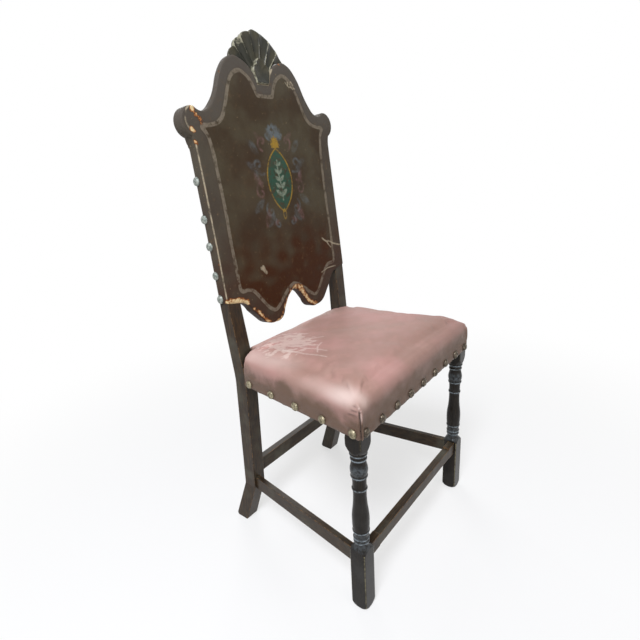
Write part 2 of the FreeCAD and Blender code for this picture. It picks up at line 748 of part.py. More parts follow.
def frame_pieces():
    """Legs, posts, stretchers and seat rails, cut for their joints."""
    leg = leg_blank()
    post = post_blank(0, 0)
    seat_z = (seat_rail_bottom, seat_rail_top)
    side_z = (side_stretcher_top - side_stretcher_height, side_stretcher_top)
    front_z = (front_stretcher_top - front_stretcher_height, front_stretcher_top)
    rear_z = (rear_stretcher_top - rear_stretcher_height, rear_stretcher_top)
    stretcher, stretcher_mortise = side_member(stretcher_set_back, side_stretcher_width, side_z, leg, post)
    rail, rail_mortise = side_member(0, seat_rail_width, seat_z, leg, post)
    leg_inner = front_half_width - leg_block
    front_y = (stretcher_set_back, stretcher_set_back + front_stretcher_width)
    front_tenon_y = stretcher_set_back + tenon_width / 2
    front, front_mortise = cross_member(leg_inner, front_y, front_z, leg, front_tenon_y)
    waist_half = leg_inner - front_stretcher_end
    under = (front_z[0] - overrun, front_z[0] + front_stretcher_waist)
    above = (front_z[1] - front_stretcher_waist, front_z[1] + overrun)
    for waste_z in (under, above):
        front = front.cut(box((-waist_half, waist_half), (-overrun, leg_block + overrun), waste_z))
    front_rail_y = tenon_width + (seat_rail_width - tenon_width) / 4
    front_rail_span = (0, seat_rail_width)
    front_rail, front_rail_mortise = cross_member(
        leg_inner, front_rail_span, seat_z, leg, front_rail_y
    )
    rear_middle = sum(rear_z) / 2
    rear_front = post_front_y(rear_middle) + stretcher_set_back
    rear_y = (rear_front, rear_front + rear_stretcher_width)
    rear_inner = post_outer_x(rear_middle) - post_width
    rear, rear_mortise = cross_member(rear_inner, rear_y, rear_z, post, sum(rear_y) / 2)
    rail_inner = post_outer_x(seat_middle) - post_width
    rear_rail_y = (seat_rear_y - seat_rail_width, seat_rear_y)
    rear_tenon_y = seat_rear_y - tenon_width
    rear_rail, rear_rail_mortise = cross_member(rail_inner, rear_rail_y, seat_z, post, rear_tenon_y)
    leg = leg.cut(Part.makeCompound([stretcher_mortise, rail_mortise, front_mortise, front_rail_mortise]))
    post = post.cut(Part.makeCompound([stretcher_mortise, rail_mortise, rear_mortise, rear_rail_mortise]))
    return {
        "right_front_leg": leg,
        "left_front_leg": mirrored(leg),
        "right_back_post": post,
        "left_back_post": mirrored(post),
        "right_side_stretcher": stretcher,
        "left_side_stretcher": mirrored(stretcher),
        "front_stretcher": front,
        "rear_stretcher": rear,
        "right_seat_rail": rail,
        "left_seat_rail": mirrored(rail),
        "front_seat_rail": front_rail,
        "rear_seat_rail": rear_rail,
    }


def back_pieces(pieces):
    """The back's rails, panel, leathers and shell, seated on the posts."""
    post = post_blank(0, 0)
    post_pair = Part.makeCompound([post, mirrored(post)])
    panel = back_panel()
    lower_rail, lower_mortise = lower_back_rail(post_pair)
    shell, shell_mortise = shell_crest()
    tenon_hole = post_tenon(joint_gap)
    crest_holes = Part.makeCompound([tenon_hole, mirrored(tenon_hole), shell_mortise])
    pieces["crest_rail"] = crest_rail(post_pair).cut(crest_holes).cut(panel)
    pieces["lower_back_rail"] = lower_rail.cut(panel)
    pieces["back_panel"] = panel
    pieces["back_cover"] = back_cover(post_pair).cut(shell_mortise)
    pieces["outside_back_cover"] = outside_cover(post_pair)
    pieces["shell_crest"] = shell
    right = pieces["right_back_post"].fuse(post_tenon(0)).removeSplitter()
    right = right.cut(lower_mortise).cut(panel)
    pieces["right_back_post"] = right
    pieces["left_back_post"] = mirrored(right)


def add_nails(pieces):
    """Drives every nail, and opens its hole in the leather and the wood behind it."""
    carriers = {
        "front_seat_nails": ("seat_cover", "front_seat_rail", "left_front_leg", "right_front_leg"),
        "rear_seat_nails": ("seat_cover", "rear_seat_rail"),
        "left_seat_nails": ("seat_cover", "left_seat_rail", "left_front_leg"),
        "right_seat_nails": ("seat_cover", "right_seat_rail", "right_front_leg"),
        "left_back_nails": ("back_cover", "left_back_post"),
        "right_back_nails": ("back_cover", "right_back_post"),
    }
    for name, row in nail_rows().items():
        made = [nail(point, way) for point, way in row]
        pieces[name] = Part.makeCompound([head for head, unused in made])
        holes = Part.makeCompound([hole for unused, hole in made])
        for carrier in carriers[name]:
            pieces[carrier] = pieces[carrier].cut(holes)


def build():
    """Every piece of the chair, by its node's name, about the middle of the footprint."""
    pieces = frame_pieces()
    back_pieces(pieces)
    clear_post = post_blank(soft_gap, leg_block)
    pieces.update(seat_pieces(Part.makeCompound([clear_post, mirrored(clear_post)])))
    add_nails(pieces)
    span = Part.makeCompound(list(pieces.values())).optimalBoundingBox(False)
    for shape in pieces.values():
        shape.translate(Vector(0, -(span.YMin + span.YMax) / 2, 0))
    return pieces


def main():
    """Writes each piece to its own file and prints a line of facts for each."""
    os.makedirs("parts", exist_ok=True)
    pieces = build()
    for name, shape in pieces.items():
        shape.exportStep("parts/" + name + ".step")
        room = shape.BoundBox
        corners = (room.XMin, room.XMax, room.YMin, room.YMax, room.ZMin, room.ZMax)
        print(name, len(shape.Solids), shape.isValid(), round(shape.Volume), [round(v) for v in corners])


main()
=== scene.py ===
"""Painted leather side chair: its leathers, turnings, shell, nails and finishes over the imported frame.

Lengths are in millimetres and turned to metres where a mesh is made. X is to the right, Y to the
rear, Z up. The back board has a frame of its own: x, the depth behind its front face, and the rise
along its slope above its bottom corners.
"""

import logging
import math
from collections.abc import Callable, Sequence
from dataclasses import dataclass
from enum import Enum
from functools import partial

import bmesh
import bpy
import numpy as np
from mathutils import Matrix, Vector
from mathutils.geometry import delaunay_2d_cdt


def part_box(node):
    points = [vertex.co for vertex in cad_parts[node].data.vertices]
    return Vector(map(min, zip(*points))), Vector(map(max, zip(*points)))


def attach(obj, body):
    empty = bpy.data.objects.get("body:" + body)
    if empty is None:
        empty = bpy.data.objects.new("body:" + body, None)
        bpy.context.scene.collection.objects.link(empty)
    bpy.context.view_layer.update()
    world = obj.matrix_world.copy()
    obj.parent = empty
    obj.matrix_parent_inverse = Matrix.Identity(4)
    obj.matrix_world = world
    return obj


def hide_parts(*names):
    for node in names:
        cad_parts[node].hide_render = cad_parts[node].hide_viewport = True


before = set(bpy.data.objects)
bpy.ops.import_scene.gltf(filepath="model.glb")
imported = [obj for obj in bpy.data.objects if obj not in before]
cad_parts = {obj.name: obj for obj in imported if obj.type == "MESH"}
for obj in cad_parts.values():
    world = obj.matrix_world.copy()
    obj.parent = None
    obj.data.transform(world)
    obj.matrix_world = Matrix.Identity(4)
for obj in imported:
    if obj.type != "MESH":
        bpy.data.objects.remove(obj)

logging.basicConfig(level=logging.INFO, format="%(message)s")
log = logging.getLogger("chair")

Socket = bpy.types.NodeSocket
Piece = bpy.types.Object
Array = np.ndarray
Spots = tuple[tuple[float, float], ...]
Rows = tuple[tuple[float, float, float], ...]

MM = 0.001
TINY = 1e-9
BODY = "root"


class Grain(Enum):
    """The way that the grain of a wooden piece runs."""

    UPRIGHT = (1.0, 1.0, 0.07)
    ACROSS = (0.07, 1.0, 1.0)
    FORE_AND_AFT = (1.0, 0.07, 1.0)


# Numbers, fields and meshes


def linear(code: str) -> tuple[float, float, float, float]:
    """Turns a hex colour into linear red, green and blue, by the sRGB standard's curve, and alpha 1."""
    parts = [int(code[k : k + 2], 16) / 255 for k in (1, 3, 5)]
    return *[p / 12.92 if p <= 0.04045 else ((p + 0.055) / 1.055) ** 2.4 for p in parts], 1.0


def ramp(values: Array, low: float, high: float) -> Array:
    """A smooth step from 0 at low to 1 at high: 3t squared less 2t cubed."""
    t = np.clip((values - low) / (high - low), 0, 1)
    return t * t * (3 - 2 * t)


def bell(offset: Array, reach: float) -> Array:
    """A bell curve: e to the power of minus the square of the offset, counted in reaches."""
    return np.exp(-((offset / reach) ** 2))


def ripple(x: Array, z: Array, length: float, seed: int) -> Array:
    """Works out a gentle unevenness: a sum of five plane waves in seeded directions.

    Args:
        x: places along the first way, in millimetres.
        z: places along the second way, in millimetres.
        length: the usual length of a wave, in millimetres.
        seed: picks the directions and phases.

    Returns:
        Values between about -1 and 1, one for each place.
    """
    rng = np.random.default_rng(seed)
    waves = 5
    turns = rng.uniform(0, 2 * math.pi, waves)
    phases = rng.uniform(0, 2 * math.pi, waves)
    rates = 2 * math.pi / (length * rng.uniform(0.7, 1.6, waves))
    heights = [np.sin((x * np.cos(t) + z * np.sin(t)) * r + p) for t, r, p in zip(turns, rates, phases)]
    return np.sum(heights, axis=0) / 3


def path_distance(points: Array, path: Array) -> Array:
    """Measures how far each point lies from an open path of straight runs.

    The nearest place on a run is the point's shadow on it, kept between the run's two ends.

    Args:
        points: rows of two coordinates.
        path: the path's corners, as rows of two coordinates.

    Returns:
        One distance a point, in the points' own unit.
    """
    best = np.full(len(points), np.inf)
    for start, end in zip(path[:-1], path[1:]):
        way = end - start
        share = np.clip((points - start) @ way / max(float(way @ way), TINY), 0, 1)
        gap = points - start - share[:, None] * way
        best = np.minimum(best, np.hypot(gap[:, 0], gap[:, 1]))
    return best


def loop_distance(points: Array, loop: Array) -> Array:
    """Distance of each point from a closed loop: a path that comes back to its start."""
    return path_distance(points, np.vstack([loop, loop[:1]]))


def inside(points: Array, loop: Array) -> Array:
    """Finds the points inside a closed loop: an odd number of its runs pass to their right.

    Args:
        points: rows of two coordinates.
        loop: the loop's corners, without the first one again at the end.

    Returns:
        True for each point that lies inside.
    """
    found = np.zeros(len(points), bool)
    for (xa, za), (xb, zb) in zip(loop, np.roll(loop, -1, axis=0)):
        spans = (za > points[:, 1]) != (zb > points[:, 1])
        reach = xa + (points[:, 1] - za) * (xb - xa) / (zb - za if zb != za else TINY)
        found ^= spans & (points[:, 0] < reach)
    return found


def bowed_path(rows: Sequence[tuple[float, float, float]], step: float) -> Array:
    """Draws a path of lines and arcs.

    Each run from one row to the next bows to its right by a share of its chord. With half angle
    A = 2 atan(2 bow), a point at t from -1 to 1 lies at sin(At) / 2 sin A along the chord and
    (cos(At) - cos A) / 2 sin A beside it.

    Args:
        rows: x, z and the bow of the run that ends there.
        step: the distance between points.

    Returns:
        Points along the path, without its very last one.
    """
    pieces = []
    for (xa, za, unused), (xb, zb, bow) in zip(rows, rows[1:]):
        chord = np.array([xb - xa, zb - za])
        count = max(2, int(np.hypot(*chord) * (1 + 2 * abs(bow)) / step))
        t = np.linspace(-1, 1, count, endpoint=False)
        if abs(bow) > 0:
            half = 2 * math.atan(2 * bow)
            along = np.sin(half * t) / (2 * math.sin(half))
            beside = (np.cos(half * t) - math.cos(half)) / (2 * math.sin(half))
        else:
            along, beside = t / 2, t * 0
        right = np.array([chord[1], -chord[0]])
        pieces.append(np.array([xa, za]) + (along + 0.5)[:, None] * chord + beside[:, None] * right)
    return np.concatenate(pieces)


def smooth_path(points: Sequence[tuple[float, float]], steps: int = 5) -> Array:
    """Draws a Catmull-Rom curve: between two points, a cubic whose slopes follow their neighbours.

    Args:
        points: given places that the curve passes through.
        steps: how many points stand for each run.

    Returns:
        Points along the curve, as rows.
    """
    p = np.array([points[0], *points, points[-1]], float)
    t = np.linspace(0, 1, steps, endpoint=False)[:, None]
    a, b, c, d = p[:-3], p[1:-2], p[2:-1], p[3:]
    runs = []
    for pa, pb, pc, pd in zip(a, b, c, d):
        bend = 2 * pa - 5 * pb + 4 * pc - pd
        runs.append((2 * pb + (pc - pa) * t + bend * t**2 + (3 * pb - pa - 3 * pc + pd) * t**3) / 2)
    return np.concatenate(runs + [p[-1:]])


def evened(path: Array, step: float) -> Array:
    """Spreads places along a path at about equal steps, by the run of its length.

    Args:
        path: the path's points, as rows.
        step: the wished distance between places.

    Returns:
        The places, as rows, with both ends of the path.
    """
    run = np.concatenate([[0], np.cumsum(np.hypot(*np.diff(path, axis=0).T))])
    along = np.linspace(0, run[-1], max(2, round(run[-1] / step)))
    return np.stack([np.interp(along, run, path[:, 0]), np.interp(along, run, path[:, 1])], axis=1)


def loop_normals(loop: Array) -> Array:
    """Works out a closed loop's normals, each a quarter turn from the way between two neighbours.

    Args:
        loop: the loop's corners, as rows.

    Returns:
        One row of length 1 for each corner.
    """
    way = np.roll(loop, -1, axis=0) - np.roll(loop, 1, axis=0)
    way /= np.maximum(np.hypot(way[:, 0], way[:, 1])[:, None], TINY)
    return np.stack([way[:, 1], -way[:, 0]], axis=1)


def grid_faces(rows: int, columns: int, close_rows: bool = False, close_columns: bool = False) -> Array:
    """Lays quads over a grid of points that is stored row by row.

    Args:
        rows: how many rows the grid has.
        columns: how many columns it has.
        close_rows: whether the last row joins the first.
        close_columns: whether the last column joins the first.

    Returns:
        Rows of four corner numbers.
    """
    i, j = np.meshgrid(
        np.arange(rows if close_rows else rows - 1),
        np.arange(columns if close_columns else columns - 1),
        indexing="ij",
    )
    below, beside = (i + 1) % rows, (j + 1) % columns
    quads = [i * columns + j, i * columns + beside, below * columns + beside, below * columns + j]
    return np.stack(quads, axis=-1).reshape(-1, 4)


def triangulated(loop: Array, within: Array) -> tuple[Array, list[list[int]]]:
    """Fills a closed loop with triangles over given points, by Delaunay's rule.

    Args:
        loop: the loop's corners, as rows.
        within: the points inside it, as rows.

    Returns:
        All corners, the loop's first, and the triangles as rows of corner numbers.
    """
    flat = np.concatenate([loop, within])
    edges = [(k, (k + 1) % len(loop)) for k in range(len(loop))]
    kept_inside, merge_below = 1, 1e-5
    made = delaunay_2d_cdt([Vector(p) for p in flat], edges, [], kept_inside, merge_below)
    corners, triangles = made[0], made[2]
    if len(corners) != len(flat):
        log.warning("a flat face gained %d corners", len(corners) - len(flat))
    return np.array([tuple(c) for c in corners]), triangles


def make_piece(name: str, points: Array, faces: Sequence, finish: bpy.types.Material) -> Piece:
    """Makes a smooth-shaded piece whose faces point outwards, riding on the chair's body.

    Args:
        name: the piece's name.
        points: its corners, in metres, as an array of rows.
        faces: rows of corner numbers.
        finish: its material.

    Returns:
        The piece, linked to the scene.
    """
    mesh = bpy.data.meshes.new(name)
    mesh.from_pydata(points.tolist(), [], [tuple(int(k) for k in face) for face in faces])
    turned = bmesh.new()
    turned.from_mesh(mesh)
    bmesh.ops.recalc_face_normals(turned, faces=turned.faces)
    turned.to_mesh(mesh)
    turned.free()
    mesh.shade_smooth()
    mesh.materials.append(finish)
    piece = bpy.data.objects.new(name, mesh)
    bpy.context.scene.collection.objects.link(piece)
    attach(piece, BODY)
    return piece


def store(piece: Piece, name: str, values: Array) -> None:
    """Keeps one number a corner under a name that a material can read."""
    layer = piece.data.attributes.new(name, "FLOAT", "POINT")
    layer.data.foreach_set("value", np.asarray(values, np.float32))


def add_modifier(piece: Piece, kind: str, **settings: object) -> bpy.types.Modifier:
    """Adds a modifier under its own kind's name.

    Args:
        piece: the piece that gets it.
        kind: the modifier's type.
        settings: values by property name.

    Returns:
        The modifier.
    """
    modifier = piece.modifiers.new(kind.title(), kind)
    for key, value in settings.items():
        setattr(modifier, key, value)
    return modifier


def applied(piece: Piece) -> None:
    """Bakes a piece's modifiers into its mesh and takes them off.

    Args:
        piece: the piece, whose mesh is replaced.
    """
    graph = bpy.context.evaluated_depsgraph_get()
    mesh = bpy.data.meshes.new_from_object(piece.evaluated_get(graph))
    old = piece.data
    piece.modifiers.clear()
    piece.data = mesh
    mesh.name = piece.name
    bpy.data.meshes.remove(old)


def read_corners(piece: Piece, what: str = "co") -> Array:
    """Reads what a piece keeps at its corners.

    Args:
        piece: the piece.
        what: co for their places in metres, or normal.

    Returns:
        An array of rows.
    """
    values = np.empty(len(piece.data.vertices) * 3)
    piece.data.vertices.foreach_get(what, values)
    return values.reshape(-1, 3)


def set_corners(piece: Piece, points: Array) -> None:
    """Moves a piece's corners."""
    piece.data.vertices.foreach_set("co", points.ravel())
    piece.data.update()


# Finishes


def add_node(
    tree: bpy.types.NodeTree,
    kind: str,
    settings: dict | None = None,
    links: dict | None = None,
    out: int | str = 0,
) -> Socket:
    """Adds one node with its settings and links.

    Args:
        tree: the material's nodes.
        kind: the node's type, without its ShaderNode prefix.
        settings: values by property name, or by input name or number. A hex code is turned to a
            linear colour, and stops sets a colour ramp.
        links: the output that feeds each input, by the input's name or number.
        out: the output that is wanted, by name or number.

    Returns:
        That output.
    """
    node = tree.nodes.new("ShaderNode" + kind)
    for key, value in (settings or {}).items():
        if key == "stops":
            while len(node.color_ramp.elements) < len(value):
                node.color_ramp.elements.new(0.5)
            for element, (place, code) in zip(node.color_ramp.elements, value):
                element.position = place
                element.color = linear(code)
        elif isinstance(key, str) and hasattr(node, key):
            setattr(node, key, value)
        else:
            hexadecimal = isinstance(value, str) and value.startswith("#")
            node.inputs[key].default_value = linear(value) if hexadecimal else value
    for key, socket in (links or {}).items():
        tree.links.new(socket, node.inputs[key])
    return node.outputs[out]


# A Mix of two colours goes from UNDER to OVER by SHARE, and its colour leaves by MIXED.
BLEND = {"data_type": "RGBA"}
SHARE, UNDER, OVER, MIXED = 0, 6, 7, 2

# A Map Range takes the values from LOW to HIGH to those from LEAST to MOST, or to 0 and 1.
SMOOTH = {"interpolation_type": "SMOOTHSTEP"}
LOW, HIGH, LEAST, MOST = 1, 2, 3, 4


def repeats(size: float) -> float:
    """How often a pattern of a real size, in millimetres, comes in a metre: its node's scale."""
    return 1 / (size * MM)


@dataclass(frozen=True)
class Finish:
    """A finish: its name, the shader's own numbers, and a method that works out what varies."""

    name: str
    roughness: float = 0.5
    metallic: float = 0.0
    ior: float = 1.5
    specular: float = 0.5
    sheen: float = 0.0

    def material(self) -> bpy.types.Material:
        """Makes the material: the plain numbers on the shader's sockets, then what varies.

        Returns:
            The material, ready for a piece.
        """
        made = bpy.data.materials.new(self.name)
        made.use_nodes = True
        tree = made.node_tree
        shader = tree.nodes["Principled BSDF"]
        shader.inputs["Roughness"].default_value = self.roughness
        shader.inputs["Metallic"].default_value = self.metallic
        shader.inputs["IOR"].default_value = self.ior
        shader.inputs["Specular IOR Level"].default_value = self.specular
        shader.inputs["Sheen Weight"].default_value = self.sheen
        place = add_node(tree, "TexCoord", out="Object")
        for name, socket in self.dress(partial(add_node, tree), place).items():
            tree.links.new(socket, shader.inputs[name])
        return made

    def dress(self, node: Callable, place: Socket) -> dict[str, Socket]:
        """Gives what varies over the surface: nothing here, and each finish has its own."""
        return {}


@dataclass(frozen=True)
class StainedWood(Finish):
    """Walnut stained nearly black, waxed and handled for centuries.

    The eye gets close grain lines under a thin gloss, a grey bloom, fine dark checks along the
    grain, and tan wood where the arrises are rubbed. The grain lines are drawn 3 mm wide, several
    times their real width, so that they show.
    """

    grain: Grain = Grain.UPRIGHT
    body: str = "#2a2119"
    streak: str = "#43321f"
    bloom: str = "#4c483c"
    bare: str = "#8a6742"
    grain_width: float = 3.0
    wear: float = 0.47
    relief: float = 1.0
    dullness: float = 0.22
    bevel: float = 2.4

    def dress(self, node: Callable, place: Socket) -> dict[str, Socket]:
        """Stain over grain, bloom in clouds, checks, and wear where a bevelled normal turns.

        Args:
            node: adds a node to this material.
            place: the Object coordinates.

        Returns:
            Outputs by the shader's sockets that they feed.
        """
        along = tuple(repeats(self.grain_width) * share for share in self.grain.value)
        lengthways = node("Mapping", {"Scale": along}, {"Vector": place})
        lines = node("TexNoise", {"Scale": 1.0, "Detail": 6.0, "Roughness": 0.6}, {"Vector": lengthways})
        clouds = node("TexNoise", {"Scale": repeats(70), "Detail": 3.0}, {"Vector": place})
        chips = node("TexNoise", {"Scale": repeats(8), "Detail": 6.0, "Roughness": 0.65}, {"Vector": place})
        streaks = node("MapRange", SMOOTH | {LOW: 0.40, HIGH: 0.68}, {0: lines})
        stain = node("Mix", BLEND | {UNDER: self.body, OVER: self.streak}, {SHARE: streaks}, MIXED)
        cloudy = node("MapRange", SMOOTH | {LOW: 0.46, HIGH: 0.76}, {0: clouds})
        bloomed = node("Mix", BLEND | {OVER: self.bloom}, {SHARE: cloudy, UNDER: stain}, MIXED)
        check = node("MapRange", SMOOTH | {LOW: 0.33, HIGH: 0.27, MOST: 0.8}, {0: lines})
        checked = node("Mix", BLEND | {OVER: "#100e0b"}, {SHARE: check, UNDER: bloomed}, MIXED)
        rounded = node("Bevel", {"samples": 4, "Radius": self.bevel * MM})
        flat = node("NewGeometry", out="Normal")
        match = node("VectorMath", {"operation": "DOT_PRODUCT"}, {0: rounded, 1: flat}, "Value")
        edge = node("MapRange", SMOOTH | {LOW: 0.985, HIGH: 0.90}, {0: match})
        rubbed = node("MapRange", SMOOTH | {LOW: self.wear, HIGH: self.wear + 0.09}, {0: chips})
        worn = node("Math", {"operation": "MULTIPLY"}, {0: edge, 1: rubbed})
        colour = node("Mix", BLEND | {OVER: self.bare}, {SHARE: worn, UNDER: checked}, MIXED)
        # On turned wood the rings' crests, the ball and the cove are painted paler grey-blue: a painted
        # highlight, with some rubbed stain. The blocks' arrises are paler where the stain is rubbed.
        broken = node("MapRange", SMOOTH | {LOW: 0.36, HIGH: 0.60, LEAST: 0.15}, {0: chips})
        for name, code in (("arris", "#7f775c"), ("crest", "#8d989e")):
            share = node("Attribute", {"attribute_name": name}, out="Fac")
            shown = node("Math", {"operation": "MULTIPLY"}, {0: share, 1: broken})
            colour = node("Mix", BLEND | {OVER: code}, {SHARE: shown, UNDER: colour}, MIXED)
        polish = {LEAST: self.roughness - 0.06, MOST: self.roughness + self.dullness}
        rough = node("MapRange", polish, {0: clouds})
        fine = node("Bump", {"Distance": 0.3 * self.relief * MM}, {"Height": lines, "Normal": rounded})
        uneven = node("Bump", {"Distance": 1.4 * self.relief * MM}, {"Height": clouds, "Normal": fine})
        return {"Base Color": colour, "Roughness": rough, "Normal": uneven}


@dataclass(frozen=True)
class PaintedLeather(Finish):
    """Old calf hide, painted dark brown by hand, then rubbed to the hide at its edges.

    The eye gets a close pored grain, dull gloss in patches, an uneven brown ground with red and
    grey fields, paint that has flaked from its high places, and bare tan hide along the edges.
    """

    body: str = "#4b4334"
    shade: str = "#3d3124"
    fields: tuple[tuple[str, str], ...] = (("ruddy", "#3d210f"), ("grey", "#544e47"))
    paints: tuple[tuple[str, str, float], ...] = (
        ("border", "#857a6a", 0.74),
        ("scroll", "#656d70", 0.80),
        ("mauve", "#80605e", 0.72),
        ("leaf", "#2b5142", 0.84),
        ("spray", "#8f9784", 0.75),
        ("gilt", "#a07f33", 0.92),
    )
    hide_stops: tuple[tuple[float, str], ...] = (
        (0.0, "#3a2015"),
        (0.50, "#5f3720"),
        (0.68, "#a5693a"),
        (0.88, "#dcc596"),
    )

    def dress(self, node: Callable, place: Socket) -> dict[str, Socket]:
        """Ground, fields by attribute, painted lines, flecks, scuff marks and painted highlight lines, bare
        hide, then the grain.

        Args:
            node: adds a node to this material.
            place: the Object coordinates.

        Returns:
            Outputs by the shader's sockets that they feed.
        """
        clouds = node("TexNoise", {"Scale": repeats(95), "Detail": 4.0}, {"Vector": place})
        mottle = node("TexNoise", {"Scale": repeats(13), "Detail": 6.0, "Roughness": 0.62}, {"Vector": place})
        fine = node("TexNoise", {"Scale": repeats(2.4), "Detail": 5.0}, {"Vector": place})
        cloudy = node("MapRange", SMOOTH | {LOW: 0.38, HIGH: 0.64}, {0: clouds})
        colour = node("Mix", BLEND | {UNDER: self.body, OVER: self.shade}, {SHARE: cloudy}, MIXED)
        for name, code in self.fields:
            share = node("Attribute", {"attribute_name": name}, out="Fac")
            colour = node("Mix", BLEND | {OVER: code}, {SHARE: share, UNDER: colour}, MIXED)
        rubbed = node("MapRange", SMOOTH | {LOW: 0.54, HIGH: 0.78, MOST: 0.42}, {0: mottle})
        colour = node("Mix", BLEND | {OVER: "#6b5540"}, {SHARE: rubbed, UNDER: colour}, MIXED)
        kept = node("MapRange", SMOOTH | {LOW: 0.30, HIGH: 0.56}, {0: mottle})
        thin = node("MapRange", SMOOTH | {LOW: 0.25, HIGH: 0.52, LEAST: 0.35}, {0: fine})
        covers = node("Math", {"operation": "MULTIPLY"}, {0: kept, 1: thin})
        for name, code, strength in self.paints:
            share = node("Attribute", {"attribute_name": name}, out="Fac")
            if name == "border":
                # This one is kept as a distance, so that its edge stays crisp between corners.
                share = node("MapRange", SMOOTH | {LOW: 0.27, HIGH: 0.18}, {0: share})
            laid = node("Math", {"operation": "MULTIPLY"}, {0: share, 1: covers})
            thinned = node("Math", {"operation": "MULTIPLY", 1: strength}, {0: laid})
            colour = node("Mix", BLEND | {OVER: code}, {SHARE: thinned, UNDER: colour}, MIXED)
        flecks = node("TexNoise", {"Scale": repeats(5), "Detail": 2.0}, {"Vector": place})
        fleck = node("MapRange", SMOOTH | {LOW: 0.71, HIGH: 0.75, MOST: 0.6}, {0: flecks})
        colour = node("Mix", BLEND | {OVER: "#8f7a58"}, {SHARE: fleck, UNDER: colour}, MIXED)
        # The scuff field holds scuffs and cracks, and two painted highlight lines in the shell's notch.
        gap = node("Attribute", {"attribute_name": "scuff"}, out="Fac")
        near = node("MapRange", SMOOTH | {LOW: 0.40, HIGH: 0.16, MOST: 0.85}, {0: gap})
        scuff = node("Math", {"operation": "MULTIPLY"}, {0: near, 1: kept})
        colour = node("Mix", BLEND | {OVER: "#a99c84"}, {SHARE: scuff, UNDER: colour}, MIXED)
        wear = node("Attribute", {"attribute_name": "wear"}, out="Fac")
        flakes = node("TexNoise", {"Scale": repeats(9), "Detail": 7.0, "Roughness": 0.7}, {"Vector": place})
        swing = node("MapRange", {LOW: 0.25, HIGH: 0.75, LEAST: -0.55, MOST: 0.55}, {0: flakes})
        reach = node("Math", {"operation": "ADD"}, {0: wear, 1: swing})
        hide = node("ValToRGB", {"stops": self.hide_stops}, {0: reach})
        bare = node("MapRange", SMOOTH | {LOW: 0.44, HIGH: 0.54}, {0: reach})
        colour = node("Mix", BLEND, {SHARE: bare, UNDER: colour, OVER: hide}, MIXED)
        rough = node("MapRange", {LOW: 0.3, HIGH: 0.7, LEAST: 0.34, MOST: 0.60}, {0: mottle})
        cell = {"Scale": repeats(1.923), "feature": "DISTANCE_TO_EDGE"}
        pores = node("TexVoronoi", cell, {"Vector": place})
        cells = node("MapRange", SMOOTH | {LOW: 0.0, HIGH: 0.12}, {0: pores})
        grain = node("Bump", {"Distance": 0.16 * MM}, {"Height": cells})
        lumps = node("Bump", {"Distance": 1.0 * MM}, {"Height": mottle, "Normal": grain})
        torn = node("Bump", {"Distance": 0.6 * MM, "invert": True}, {"Height": bare, "Normal": lumps})
        return {"Base Color": colour, "Roughness": rough, "Normal": torn}


